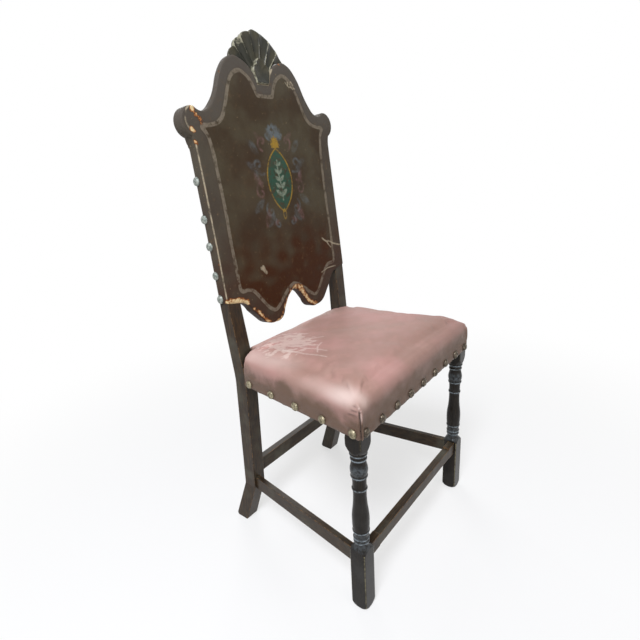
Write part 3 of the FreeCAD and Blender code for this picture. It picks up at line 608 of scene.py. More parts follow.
@dataclass(frozen=True)
class SeatHide(Finish):
    """Rose-dyed calf hide, faded and soiled low on its sides, with painted shade low on its front and
    left and a painted highlight, with a little rubbing, on its left shoulder.

    The eye gets a soft low gloss over a fine grain, clouded rose and mauve, tan soil near the
    nails, and a pale scuffed field whose surface has worn off in streaks.
    """

    body: str = "#bf9188"
    dusk: str = "#ab8679"
    pale: str = "#dec5ba"
    tan: str = "#614b3b"
    streak_turn: float = -0.9
    streak_size: tuple[float, float, float] = (22.0, 9.0, 20.0)

    def dress(self, node: Callable, place: Socket) -> dict[str, Socket]:
        """Clouded dye, painted shade, painted highlight with some rubbing, soil, peeling, scratches,
        painted shade in the slits, then the grain.

        Args:
            node: adds a node to this material.
            place: the Object coordinates.

        Returns:
            Outputs by the shader's sockets that they feed.
        """
        clouds = node("TexNoise", {"Scale": repeats(150), "Detail": 4.0}, {"Vector": place})
        blotched = {"Scale": repeats(42), "Detail": 6.0, "Roughness": 0.62}
        patches = node("TexNoise", blotched, {"Vector": place})
        fine = node("TexNoise", {"Scale": repeats(1.8), "Detail": 4.0}, {"Vector": place})
        cloudy = node("MapRange", SMOOTH | {LOW: 0.38, HIGH: 0.62}, {0: clouds})
        colour = node("Mix", BLEND | {UNDER: self.body, OVER: self.dusk}, {SHARE: cloudy}, MIXED)
        rosy = node("MapRange", SMOOTH | {LOW: 0.50, HIGH: 0.74, MOST: 0.55}, {0: patches})
        colour = node("Mix", BLEND | {OVER: "#cfa096"}, {SHARE: rosy, UNDER: colour}, MIXED)
        # The first layer is painted shade, with darker tone on top; the second a painted highlight, partly
        # rubbed.
        for name, code in (("dim", "#7a6055"), ("rubbed", self.pale)):
            share = node("Attribute", {"attribute_name": name}, out="Fac")
            colour = node("Mix", BLEND | {OVER: code}, {SHARE: share, UNDER: colour}, MIXED)
        soil = node("Attribute", {"attribute_name": "soil"}, out="Fac")
        swing = node("MapRange", {LOW: 0.3, HIGH: 0.7, LEAST: -0.32, MOST: 0.32}, {0: patches})
        reach = node("Math", {"operation": "ADD"}, {0: soil, 1: swing})
        soiled = node("MapRange", SMOOTH | {LOW: 0.15, HIGH: 1.05, MOST: 0.92}, {0: reach})
        colour = node("Mix", BLEND | {OVER: self.tan}, {SHARE: soiled, UNDER: colour}, MIXED)
        size = tuple(length * MM for length in self.streak_size)
        across = {"vector_type": "TEXTURE", "Rotation": (0, 0, self.streak_turn), "Scale": size}
        sideways = node("Mapping", across, {"Vector": place})
        streaks = node("TexNoise", {"Scale": 1.0, "Detail": 6.0, "Roughness": 0.6}, {"Vector": sideways})
        peel = node("Attribute", {"attribute_name": "peel"}, out="Fac")
        lift = node("MapRange", {LOW: 0.3, HIGH: 0.7, LEAST: -0.42, MOST: 0.42}, {0: streaks})
        peeling = node("Math", {"operation": "ADD"}, {0: peel, 1: lift})
        peeled = node("MapRange", SMOOTH | {LOW: 0.46, HIGH: 0.62, MOST: 0.52}, {0: peeling})
        colour = node("Mix", BLEND | {OVER: "#e3cfc2"}, {SHARE: peeled, UNDER: colour}, MIXED)
        # The crease layer is painted shade in the folds' slits and creases.
        for name, code in (("scuff", "#ead9cd"), ("crease", "#2c1f1a")):
            share = node("Attribute", {"attribute_name": name}, out="Fac")
            colour = node("Mix", BLEND | {OVER: code}, {SHARE: share, UNDER: colour}, MIXED)
        rough = node("MapRange", {LOW: 0.3, HIGH: 0.7, LEAST: 0.40, MOST: 0.58}, {0: patches})
        cell = {"Scale": repeats(1.5625), "feature": "DISTANCE_TO_EDGE"}
        pores = node("TexVoronoi", cell, {"Vector": place})
        cells = node("MapRange", SMOOTH | {LOW: 0.0, HIGH: 0.10}, {0: pores})
        grain = node("Bump", {"Distance": 0.10 * MM}, {"Height": cells})
        soft = node("Bump", {"Distance": 0.12 * MM}, {"Height": fine, "Normal": grain})
        uneven = node("Bump", {"Distance": 1.6 * MM}, {"Height": patches, "Normal": soft})
        return {"Base Color": colour, "Roughness": rough, "Normal": uneven}


@dataclass(frozen=True)
class ForgedNail(Finish):
    """Forged brass heads, hammered by hand and dulled by centuries of air.

    The eye gets a soft metal gloss, shallow dents and a patina in patches.
    """

    bright: str = "#a0967c"
    dull: str = "#6a634f"

    def dress(self, node: Callable, place: Socket) -> dict[str, Socket]:
        """Patina where a fine noise is high, brighter and smoother elsewhere.

        Args:
            node: adds a node to this material.
            place: the Object coordinates.

        Returns:
            Outputs by the shader's sockets that they feed.
        """
        spots = node("TexNoise", {"Scale": repeats(5), "Detail": 5.0}, {"Vector": place})
        share = node("MapRange", SMOOTH | {LOW: 0.38, HIGH: 0.62}, {0: spots})
        colour = node("Mix", BLEND | {UNDER: self.bright, OVER: self.dull}, {SHARE: share}, MIXED)
        rough = node("MapRange", {LOW: 0.3, HIGH: 0.7, LEAST: 0.32, MOST: 0.62}, {0: spots})
        dents = node("Bump", {"Distance": 0.3 * MM}, {"Height": spots})
        return {"Base Color": colour, "Roughness": rough, "Normal": dents}


@dataclass(frozen=True)
class CarvedPaint(Finish):
    """Green-black oil paint on carved wood.

    The eye gets deep olive hollows with a wet gloss, and pale ridges: a painted highlight with some rubbed
    paint.
    """

    body: str = "#27271e"
    rubbed: str = "#9c9882"

    def dress(self, node: Callable, place: Socket) -> dict[str, Socket]:
        """Clouded paint, broken pale where the attribute ridge is high: a painted highlight, partly rubbed
        paint.

        Args:
            node: adds a node to this material.
            place: the Object coordinates.

        Returns:
            Outputs by the shader's sockets that they feed.
        """
        spots = node("TexNoise", {"Scale": repeats(8), "Detail": 6.0, "Roughness": 0.65}, {"Vector": place})
        clouds = node("TexNoise", {"Scale": repeats(40), "Detail": 3.0}, {"Vector": place})
        cloudy = node("MapRange", SMOOTH | {LOW: 0.40, HIGH: 0.66}, {0: clouds})
        body = node("Mix", BLEND | {UNDER: self.body, OVER: "#3b3727"}, {SHARE: cloudy}, MIXED)
        ridge = node("Attribute", {"attribute_name": "ridge"}, out="Fac")
        swing = node("MapRange", {LOW: 0.3, HIGH: 0.7, LEAST: -0.5, MOST: 0.3}, {0: spots})
        reach = node("Math", {"operation": "ADD"}, {0: ridge, 1: swing})
        share = node("MapRange", SMOOTH | {LOW: 0.42, HIGH: 0.80, MOST: 0.85}, {0: reach})
        colour = node("Mix", BLEND | {OVER: self.rubbed}, {SHARE: share, UNDER: body}, MIXED)
        relief = node("Bump", {"Distance": 0.9 * MM}, {"Height": spots})
        return {"Base Color": colour, "Normal": relief}


@dataclass(frozen=True)
class WovenCloth(Finish):
    """Plain-woven bast fibre, such as linen webbing or jute hessian.

    The eye gets round dull threads, over and under each other at their real spacing, and dust.
    """

    body: str = "#a08c68"
    shade: str = "#6f5d40"
    spacing: float = 1.6

    def dress(self, node: Callable, place: Socket) -> dict[str, Socket]:
        """Two wave bands across each other make the threads; their product is the height.

        Args:
            node: adds a node to this material.
            place: the Object coordinates.

        Returns:
            Outputs by the shader's sockets that they feed.
        """
        # At a scale of 1 the bands come about 1 / pi of a unit apart.
        rate = repeats(self.spacing) / math.pi
        band = {"Scale": rate, "Distortion": 0.4, "bands_direction": "X"}
        warp = node("TexWave", band, {"Vector": place})
        weft = node("TexWave", band | {"bands_direction": "Y"}, {"Vector": place})
        weave = node("Math", {"operation": "MULTIPLY"}, {0: warp, 1: weft})
        dirt = node("TexNoise", {"Scale": repeats(45), "Detail": 4.0}, {"Vector": place})
        open_share = node("MapRange", SMOOTH | {LOW: 0.05, HIGH: 0.5}, {0: weave})
        colour = node("Mix", BLEND | {UNDER: self.shade, OVER: self.body}, {SHARE: open_share}, MIXED)
        dusty = node("MapRange", SMOOTH | {LOW: 0.50, HIGH: 0.85}, {0: dirt})
        colour = node("Mix", BLEND | {OVER: "#6a5a44"}, {SHARE: dusty, UNDER: colour}, MIXED)
        threads = node("Bump", {"Distance": 0.5 * MM}, {"Height": weave})
        return {"Base Color": colour, "Normal": threads}


@dataclass(frozen=True)
class PlainHide(Finish):
    """Plain dark calf hide, dry and never polished, as on the rear of a chair's back.

    The eye gets a dull brown with dust in clouds and creases that run upwards.
    """

    def dress(self, node: Callable, place: Socket) -> dict[str, Socket]:
        """Brown with dust in clouds, and creases from a stretched noise.

        Args:
            node: adds a node to this material.
            place: the Object coordinates.

        Returns:
            Outputs by the shader's sockets that they feed.
        """
        clouds = node("TexNoise", {"Scale": repeats(80), "Detail": 4.0}, {"Vector": place})
        upwards = node("Mapping", {"Scale": (repeats(16), repeats(16), repeats(40))}, {"Vector": place})
        creases = node("TexNoise", {"Scale": 1.0, "Detail": 6.0}, {"Vector": upwards})
        cloudy = node("MapRange", SMOOTH | {LOW: 0.40, HIGH: 0.70}, {0: clouds})
        colour = node("Mix", BLEND | {UNDER: "#46382b", OVER: "#5f5142"}, {SHARE: cloudy}, MIXED)
        pale = node("MapRange", SMOOTH | {LOW: 0.58, HIGH: 0.78, MOST: 0.35}, {0: creases})
        colour = node("Mix", BLEND | {OVER: "#82725d"}, {SHARE: pale, UNDER: colour}, MIXED)
        relief = node("Bump", {"Distance": 1.0 * MM}, {"Height": creases})
        return {"Base Color": colour, "Normal": relief}


# The chair's own geometry


@dataclass(frozen=True)
class Plan:
    """Where the frame's faces lie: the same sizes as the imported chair's."""

    leg_front: float
    front_half_width: float = 259.0
    post_kick_half_width: float = 205.5
    post_back_half_width: float = 224.0
    post_splay_top: float = 633.0
    heel_kick_height: float = 121.0
    heel_kick_front: float = 387.0
    seat_bend_height: float = 452.0
    seat_bend_front: float = 356.5
    rake: float = 5.64
    board_bottom_rise: float = 197.0
    rail_level: float = 464.5

    def side_x(self, y: Array, z: float) -> Array:
        """Works out half the frame's width: a straight line in plan from the legs to the posts.

        The posts splay outwards with their height, and kick forwards up to the seat's bend.

        Args:
            y: distances behind the legs' front.
            z: the height.

        Returns:
            Distances from the chair's middle, in millimetres.
        """
        share = min((z - self.heel_kick_height) / (self.post_splay_top - self.heel_kick_height), 1)
        post = self.post_kick_half_width + (self.post_back_half_width - self.post_kick_half_width) * share
        fall = (z - self.heel_kick_height) / (self.seat_bend_height - self.heel_kick_height)
        post_y = self.heel_kick_front + (self.seat_bend_front - self.heel_kick_front) * fall
        return self.front_half_width + (post - self.front_half_width) * y / post_y

    def rail_x(self, y: Array | float) -> Array:
        """Half the frame's width at the level of the seat rails."""
        return self.side_x(np.asarray(y, float), self.rail_level)

    def world(self, x: Array, y: Array, z: Array) -> Array:
        """Rows of metres from millimetres, with y measured from the legs' front."""
        x, y, z = np.broadcast_arrays(x, y, z)
        return np.stack([x, y + self.leg_front, z], axis=-1).reshape(-1, 3) * MM

    def board(self, x: Array, depth: Array, rise: Array) -> Array:
        """Turns the board's own frame into rows of metres, by the rake of the back.

        Args:
            x: distances to the right of the middle.
            depth: distances behind the board's front face.
            rise: distances up the slope from its bottom corners.

        Returns:
            One row of metres a place.
        """
        turn = math.radians(self.rake)
        x, depth, rise = np.broadcast_arrays(x, depth, rise)
        up = rise + self.board_bottom_rise
        y = self.seat_bend_front + depth * math.cos(turn) + up * math.sin(turn)
        z = self.seat_bend_height - depth * math.sin(turn) + up * math.cos(turn)
        return self.world(x, y, z)


@dataclass
class TurnedLeg:
    """A front leg: at each height, the square blank or the turning, whichever is nearer its axis."""

    plan: Plan
    finish: bpy.types.Material
    half_block: float = 19.0
    top: float = 488.0
    foot_rise: float = 24.0
    foot_flat: float = 12.0
    blank_reach: float = 29.0
    ring_crest: float = 0.62
    turn_steps: int = 128
    corner_power: int = 24
    meeting_sharpness: float = 40.0
    body: Spots = (
        (155, 26.9), (160, 24.4), (165, 19.5), (169, 16.2), (172, 14.9), (176, 14.9), (186, 15.6),
        (196, 16.0), (205, 16.9), (214, 17.8), (226, 18.5), (240, 18.75), (250, 18.4), (260, 17.3),
        (272, 15.7), (284, 14.7), (296, 14.2), (308, 14.2), (320, 14.7), (330, 14.6), (340, 15.2),
        (348, 16.2), (356, 18.1), (362, 18.7), (368, 18.0), (376, 16.0), (383, 15.1), (392, 15.4),
        (398, 16.3), (402, 17.6), (409, 21.5), (418, 25.6), (424, 27.2),
    )
    rings: Rows = (
        (181.0, 3.2, 2.0), (191.0, 3.6, 1.9), (208.5, 3.2, 1.3), (315.5, 3.2, 1.9), (345.8, 3.4, 1.9),
        (387.0, 3.2, 2.0), (397.5, 3.6, 2.1),
    )

    def radius(self, z: Array) -> Array:
        """Works out the turning's radius: a softened line through listed places, plus rings.

        Three quarters of the line are its mean over 6 mm of height. Each ring adds half an ellipse,
        and below the blocks the foot is a quarter of one.

        Args:
            z: heights, in millimetres.

        Returns:
            One radius a height, in millimetres.
        """
        heights, radii = np.array(self.body).T
        plain = np.interp(z, heights, radii)
        spread = np.linspace(-3.0, 3.0, 13)
        soft = np.mean([np.interp(z + s, heights, radii) for s in spread], axis=0)
        rings = [size * np.sqrt((1 - ((z - at) / half) ** 2).clip(0)) for at, half, size in self.rings]
        turned = soft * 0.75 + plain * 0.25 + np.max(rings, axis=0)
        climb = np.clip(z / self.foot_rise, 0, 1)
        foot = self.foot_flat + (self.blank_reach - self.foot_flat) * np.sqrt(1 - (1 - climb) ** 2)
        in_foot = z < 2.5 * self.foot_rise
        return np.minimum(np.where(in_foot, foot, turned), self.blank_reach)

    def levels(self) -> Array:
        """Heights of the rings of corners: close over the turning and the foot, wide on the blocks."""
        runs = ((0, self.foot_rise, 16), (30, 140, 8), (145, 430, 300), (436, self.top, 6))
        return np.concatenate([[0.0], *[np.linspace(*run) for run in runs], [self.top]])

    def build(self, side: int, name: str, node: str) -> Piece:
        """Carries the profile round the axis.

        The blank is a square whose corners are barely round: the 24th powers of its two ways add up
        to 1. Blank and turning meet as the logarithm of a sum of exponentials, which is near the
        lesser of the two and leaves a small round where they cross.

        Args:
            side: -1 for the left leg, 1 for the right.
            name: the piece's name.
            node: the solid that it stands for.

        Returns:
            The leg.
        """
        z = self.levels()
        turn = (np.arange(self.turn_steps) + 0.5) / self.turn_steps * 2 * math.pi
        reach = self.radius(z)
        reach[[0, -1]] = 0.05
        power = self.corner_power
        across, beside = np.abs(np.cos(turn)), np.abs(np.sin(turn))
        square = self.half_block / (across**power + beside**power) ** (1 / power)
        rate = self.meeting_sharpness / self.half_block
        r = -np.log(np.exp(-rate * reach[:, None]) + np.exp(-rate * square[None, :])) / rate
        r = np.clip(r, 0.02, None)
        waver = 1 + 0.006 * ripple(z, z * 0, 70, 5 + side)[:, None]
        x = r * np.cos(turn) * waver
        y = r * np.sin(turn) * waver + self.half_block
        centre = self.plan.front_half_width - self.half_block
        # Inside the seat the outer face is planed to the slant of the side rail.
        limit = self.plan.side_x(y, 464.0) - centre - 0.2
        in_seat = ramp(z, 438, 441)[:, None] > 0
        x = np.where(in_seat, np.minimum(x, limit), x)
        points = self.plan.world(side * (x + centre), y, z[:, None] + 0 * x)
        faces = grid_faces(len(z), len(turn), close_columns=True)
        piece = make_piece(name, points, faces, self.finish)
        self.wear(piece, z, turn, reach)
        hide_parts(node)
        return piece

    def wear(self, piece: Piece, z: Array, turn: Array, reach: Array) -> None:
        """Keeps the painted highlight on the rings' crests, the ball and the cove, partly rubbed stain,
        and where the blocks' arrises are rubbed, as shares from 0 to 1.

        Args:
            piece: the leg.
            z: the height of each ring of corners.
            turn: the way of each column of corners.
            reach: the turning's radius at each ring.
        """
        crests = [(1 - ((z - at) / (half * self.ring_crest)) ** 2).clip(0) for at, half, size in self.rings]
        # Painted sheen on the ball and in the cove, paler like the rings' painted highlight.
        painted_ball_sheen = 0.22 * ramp(z, 345, 358) * (1 - ramp(z, 366, 380))
        painted_cove_sheen = 0.16 * ramp(z, 158, 168) * (1 - ramp(z, 196, 214))
        crest = np.maximum(np.max(crests, axis=0) * 0.85, painted_ball_sheen + painted_cove_sheen)
        store(piece, "crest", np.repeat(crest, len(turn)))
        corner = np.abs((np.degrees(turn) % 90) - 45)
        on_block = reach[:, None] > 25.5
        strength = 0.9 - 0.6 * ramp(z, 300, 380)
        arris = (1 - ramp(corner, 0.8, 3.4))[None, :] * on_block
        store(piece, "arris", (arris * strength[:, None]).ravel())


@dataclass
class PaintedBack:
    """The leather over the front of the back, wrapped round its edges, and what is painted on it.

    An outline is rows of x, rise, and the bow of the run that ends there. A mark is a path with its
    width; most are scuffs and cracks, and the two in the shell's notch are painted highlight lines. A
    worn run is a path with its width and its strength.
    """

    plan: Plan
    finish: bpy.types.Material
    leather: float = 2.8
    front: float = -3.0
    rounding: float = 4.5
    thickness: float = 23.0
    crest_thickness: float = 8.0
    taper: tuple[float, float] = (378.0, 445.0)
    turn_in: float = 7.0
    grid: float = 5.0
    fine_grid: float = 2.1
    ornament_x: float = 8.0
    ornament_z: float = 257.0
    lower: Rows = (
        (0, -13.9, 0), (30.9, -35.3, -0.05), (47.9, -59.9, 0), (82.9, -82.0, 0.22),
        (122.1, -65.6, 0.12), (150.1, -35.3, 0), (176.1, -7.0, -0.08), (224.0, 3.0, 0),
    )
    upper: Rows = (
        (224.0, 330.0, 0), (230.0, 363.8, -0.06), (215.0, 418.2, 0.46), (196.9, 409.2, -0.08),
        (167.6, 422.4, -0.10), (135.5, 474.4, -0.043), (109.1, 513.7, 0.045), (79.1, 528.0, 0.085),
        (45.5, 515.3, 0.055), (20.0, 475.0, 0.11), (0.0, 475.0, 0),
    )
    border_half: Spots = (
        (0, -4), (-20, -12), (-42, -28), (-60, -44), (-80, -54), (-98, -44), (-118, -20), (-140, 8),
        (-158, 17), (-181, 21), (-183, 60), (-184, 130), (-183, 200), (-184, 270), (-186, 325),
        (-192, 362), (-204, 381), (-180, 384), (-160, 389), (-143, 402), (-127, 430), (-113, 462),
        (-97, 488), (-72, 500), (-50, 491), (-36, 474), (-27, 454), (-20, 450),
    )
    marks: tuple[tuple[Spots, float], ...] = (
        (((141, 92), (150, 85), (158, 80), (167, 80), (176, 77),
          (186, 70), (196, 67), (208, 63), (221, 60)), 1.9),
        (((160, 79), (165, 71), (170, 66), (176, 60)), 1.4),
        (((80, 487), (86, 480), (92, 476), (98, 479), (103, 473), (113, 474)), 1.3),
        (((88, 488), (96, 484), (100, 490), (108, 482)), 1.1),
        (((-106, 58), (-100, 56), (-96, 49), (-91, 44)), 3.6),
        (((-99, 62), (-95, 54)), 2.4),
        (((120, -2), (150, 5), (186, 4)), 1.0),
        (((-226, 12), (-225, 120), (-225, 250), (-226, 345)), 1.1),
        # The next two marks are painted highlights along the notch's right edge and its sill.
        (((19, 477), (22, 487), (27.5, 499), (38, 512)), 2.2),
        (((-19, 476), (19, 476)), 1.6),
        (((-224, 421), (-234, 414), (-240, 402), (-241, 392), (-238, 381), (-231, 373)), 1.5),
    )
    worn_runs: tuple[tuple[Spots, float, float], ...] = (
        (((-226, 3), (-206, 2), (-186, -3), (-168, -12)), 6.5, 1.0),
        (((-150, -30), (-130, -52), (-118, -68), (-105, -79)), 4.5, 0.75),
        (((-100, -84), (-82, -84), (-66, -79), (-54, -64), (-44, -50), (-30, -37), (-12, -20)), 3.0, 0.85),
        (((-8, -20), (4, -17), (14, -17), (25, -24)), 9.5, 0.72),
        (((30, -33), (44, -54), (58, -70), (77, -80)), 5.0, 0.9),
        (((-216, 422), (-221, 414)), 4.6, 1.05),
        (((-212, 402), (-206, 396), (-203, 389)), 5.0, 0.72),
        (((-231, 377), (-227, 371)), 3.8, 1.0),
        (((-228, 352), (-223, 346)), 3.0, 0.85),
        (((66, 527), (72, 518)), 2.2, 0.8),
    )

    def outline(self, growth: float) -> Array:
        """Draws the board's closed outline from its right half and that half's mirror.

        Args:
            growth: how far the outline moves outwards.

        Returns:
            Rows of x and rise, from the middle of the foot up the right side and round.
        """
        right = list(self.lower) + list(self.upper)
        pairs = zip(reversed(right[:-1]), reversed(right[1:]))
        left = [(-x, z, bow) for (x, z, unused), (a, b, bow) in pairs]
        loop = bowed_path(right + left, 3.2)
        return loop + loop_normals(loop) * growth

    def border(self) -> Array:
        """The painted border's line: its left half, then that half's mirror."""
        return smooth_path(list(self.border_half) + [(-x, z) for x, z in reversed(self.border_half)])

    def rear_depth(self, x: Array, rise: Array) -> Array:
        """Works out how far back the leather reaches: the board's thickness, which thins at the crest.

        Args:
            x: places along the outline, to the right of the middle.
            rise: the same places' rise.

        Returns:
            One depth a place. At the ears it is the full thickness.
        """
        wood = np.interp(rise, self.taper, (self.thickness, self.crest_thickness))
        free = self.free_edge(x, rise)
        ears = ramp(np.abs(x), 190, 205) * ramp(rise, 340, 352) * (1 - ramp(rise, 424, 434))
        plain = np.where(free > 0.5, wood + self.leather, wood - 1.0)
        return plain + (self.thickness + self.leather - plain) * ears

    def free_edge(self, x: Array, rise: Array) -> Array:
        """1 where no post stands behind the edge, so that the leather can turn in behind it, else 0."""
        below = (1 - ramp(np.abs(x), 176, 186)) * (rise < 60)
        return np.maximum(ramp(rise, 352, 362), below)

    def sections(self, loop: Array) -> tuple[Array, Array]:
        """Works out the rings of corners from the rear edge round to the front face.

        The rear turn-in is straight, the rounded front edge is a quarter circle, and the side
        between them is straight.

        Args:
            loop: the outline, as rows of x and rise.

        Returns:
            The insets and the depths, with a row for each ring and a column for each place.
        """
        rear = self.rear_depth(loop[:, 0], loop[:, 1])
        free = self.free_edge(loop[:, 0], loop[:, 1])
        side_start = rear - 2.0
        side_end = self.front + self.rounding
        insets = [self.turn_in * free, 3.0 * free, 0.8 * free, 0 * free]
        depths = [rear, rear, rear - 0.5 * free, side_start]
        for share in (0.35, 0.7):
            insets.append(0 * free)
            depths.append(side_start * (1 - share) + side_end * share)
        for turn in np.linspace(0, math.pi / 2, 7):
            insets.append(self.rounding * (1 - math.cos(turn)) + 0 * free)
            depths.append(self.front + self.rounding * (1 - math.sin(turn)) + 0 * free)
        return np.array(insets), np.array(depths)

    def face_points(self, loop: Array) -> Array:
        """Chooses places for the flat of the front face, so that what is painted has crisp edges.

        There is a coarse grid, a fine one under the ornament, and places along the border and the
        marks. A grid's other rows are shifted by half a step.

        Args:
            loop: the outline of the flat.

        Returns:
            Rows of x and rise.
        """
        found = []
        for pitch, fine in ((self.grid, False), (self.fine_grid, True)):
            x, z = np.meshgrid(np.arange(-250, 251, pitch), np.arange(-85, 530, pitch))
            x = x + (np.arange(z.shape[0]) % 2)[:, None] * pitch / 2
            points = np.stack([x.ravel(), z.ravel()], axis=1)
            near = (np.abs(points[:, 0] - self.ornament_x) < 100) & (np.abs(points[:, 1] - 262) < 142)
            points = points[near == fine]
            points = points[inside(points, loop)]
            found.append(points[loop_distance(points, loop) > pitch * 0.6])
        points = np.concatenate(found)
        border_step, mark_step = 4.5, 3.0
        border = self.border()
        marks = [np.array(path, float) for path, width in self.marks]
        drawn = np.concatenate([evened(border, border_step)] + [evened(path, mark_step) for path in marks])
        drawn = drawn[inside(drawn, loop)]
        drawn = drawn[loop_distance(drawn, loop) > 1.5]
        gap = np.min([path_distance(points, path) for path in [border, *marks]], axis=0)
        return np.concatenate([points[gap > 2.0], drawn])

    def build(self) -> Piece:
        """Makes rings round the edge, a triangulated face inside them, and one wall of leather.

        Returns:
            The leather, with its painted and worn fields.
        """
        outer = self.outline(-self.front)
        normals = loop_normals(outer)
        insets, depths = self.sections(outer)
        rings = [outer - normals * inset[:, None] for inset in insets]
        flat, triangles = triangulated(rings[-1], self.face_points(rings[-1]))
        x = np.concatenate([ring[:, 0] for ring in rings[:-1]] + [flat[:, 0]])
        z = np.concatenate([ring[:, 1] for ring in rings[:-1]] + [flat[:, 1]])
        depth = np.concatenate([*depths[:-1], np.full(len(flat), self.front)])
        first = len(outer) * (len(rings) - 1)
        quads = grid_faces(len(rings), len(outer), close_columns=True)
        faces = [tuple(q) for q in quads] + [tuple(first + k for k in t) for t in triangles]
        edge = loop_distance(np.stack([x, z], axis=1), outer)
        edge[:first] = np.maximum(edge[:first], depth[:first] - 2.0).clip(0)
        slack = ripple(x, z, 150, 3) * 0.8 + ripple(x, z, 46, 4) * 0.25
        depth = depth + slack * ramp(edge, 4, 40) * (depth < 0)
        piece = make_piece("painted_back_leather", self.plan.board(x, depth, z), faces, self.finish)
        add_modifier(piece, "SOLIDIFY", thickness=self.leather * MM, offset=-1.0, use_even_offset=False)
        self.paint(piece, x, z, edge, depth)
        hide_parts("back_cover")
        return piece

    def paint(
        self, piece: Piece, x: Array, z: Array, edge: Array, depth: Array
    ) -> None:
        """Keeps each painted or worn field on the corners, as a share from 0 to 1.

        Args:
            piece: the leather.
            x: each corner's place to the right of the middle.
            z: each corner's rise.
            edge: each corner's distance from the nearest arris.
            depth: each corner's depth behind the board's front.
        """
        points = np.stack([x, z], axis=1)
        border = self.border()
        line = path_distance(points, border)
        border_reach = 20.0
        waver = ripple(x, z, 60, 8) * 0.5
        store(piece, "border", (line - waver).clip(0, border_reach) / border_reach)
        outside = (~inside(points, border)) * ramp(line, 0, 8)
        strip = outside * (0.30 + 0.15 * ramp(z, 20, 240) + 0.40 * ramp(z, 335, 425))
        store(piece, "grey", np.clip(strip + 0.25 * ramp(z, 420, 520), 0, 1))
        red = 0.70 * bell(x - 66, 60) * bell(z - 38, 70) + 0.85 * (1 - ramp(z, 40, 215))
        red += 0.30 * bell(x + 92, 60) * bell(z - 262, 80) + 0.75 * bell(z + 30, 60)
        store(piece, "ruddy", np.clip(red * (0.75 + 0.4 * ripple(x, z, 40, 10)), 0, 1))
        store(piece, "wear", self.worn(points, edge, depth))
        store(piece, "scuff", self.scuffs_and_highlight_lines(points, depth))
        for name, values in Ornament(self.ornament_x, self.ornament_z).fields(points).items():
            store(piece, name, values)

    def worn(self, points: Array, edge: Array, depth: Array) -> Array:
        """Works out how far the paint is worn to the hide, along the worn runs and at the arrises.

        Args:
            points: places on the board.
            edge: their distances from the nearest arris.
            depth: their depths behind the board's front.

        Returns:
            A share that falls from about 1 in the middle of a worn place to 0 at twice its width.
        """
        found = np.zeros(len(points))
        for path, width, strength in self.worn_runs:
            gap = np.hypot(path_distance(points, smooth_path(path)), (depth + 1).clip(0) * 1.2)
            found = np.maximum(found, strength * (1 - ramp(gap, width * 0.3, width * 2.0)))
        rubbed = 0.26 * (1 - ramp(edge, 0.5, 4.0)) * (1 - ramp(points[:, 1], 60, 300) * 0.4)
        return np.maximum(found, rubbed)

    def scuffs_and_highlight_lines(self, points: Array, depth: Array) -> Array:
        """Measures how far each place is from the nearest mark, in widths of that mark.

        Args:
            points: places on the board.
            depth: their depths behind the board's front.

        Returns:
            The distance as a share of four widths, at most 1.
        """
        reach = 4
        behind = (depth + 1).clip(0)
        gaps = []
        for path, width in self.marks:
            gaps.append(np.hypot(path_distance(points, np.array(path, float)), behind) / width)
        return np.min(gaps, axis=0).clip(0, reach) / reach


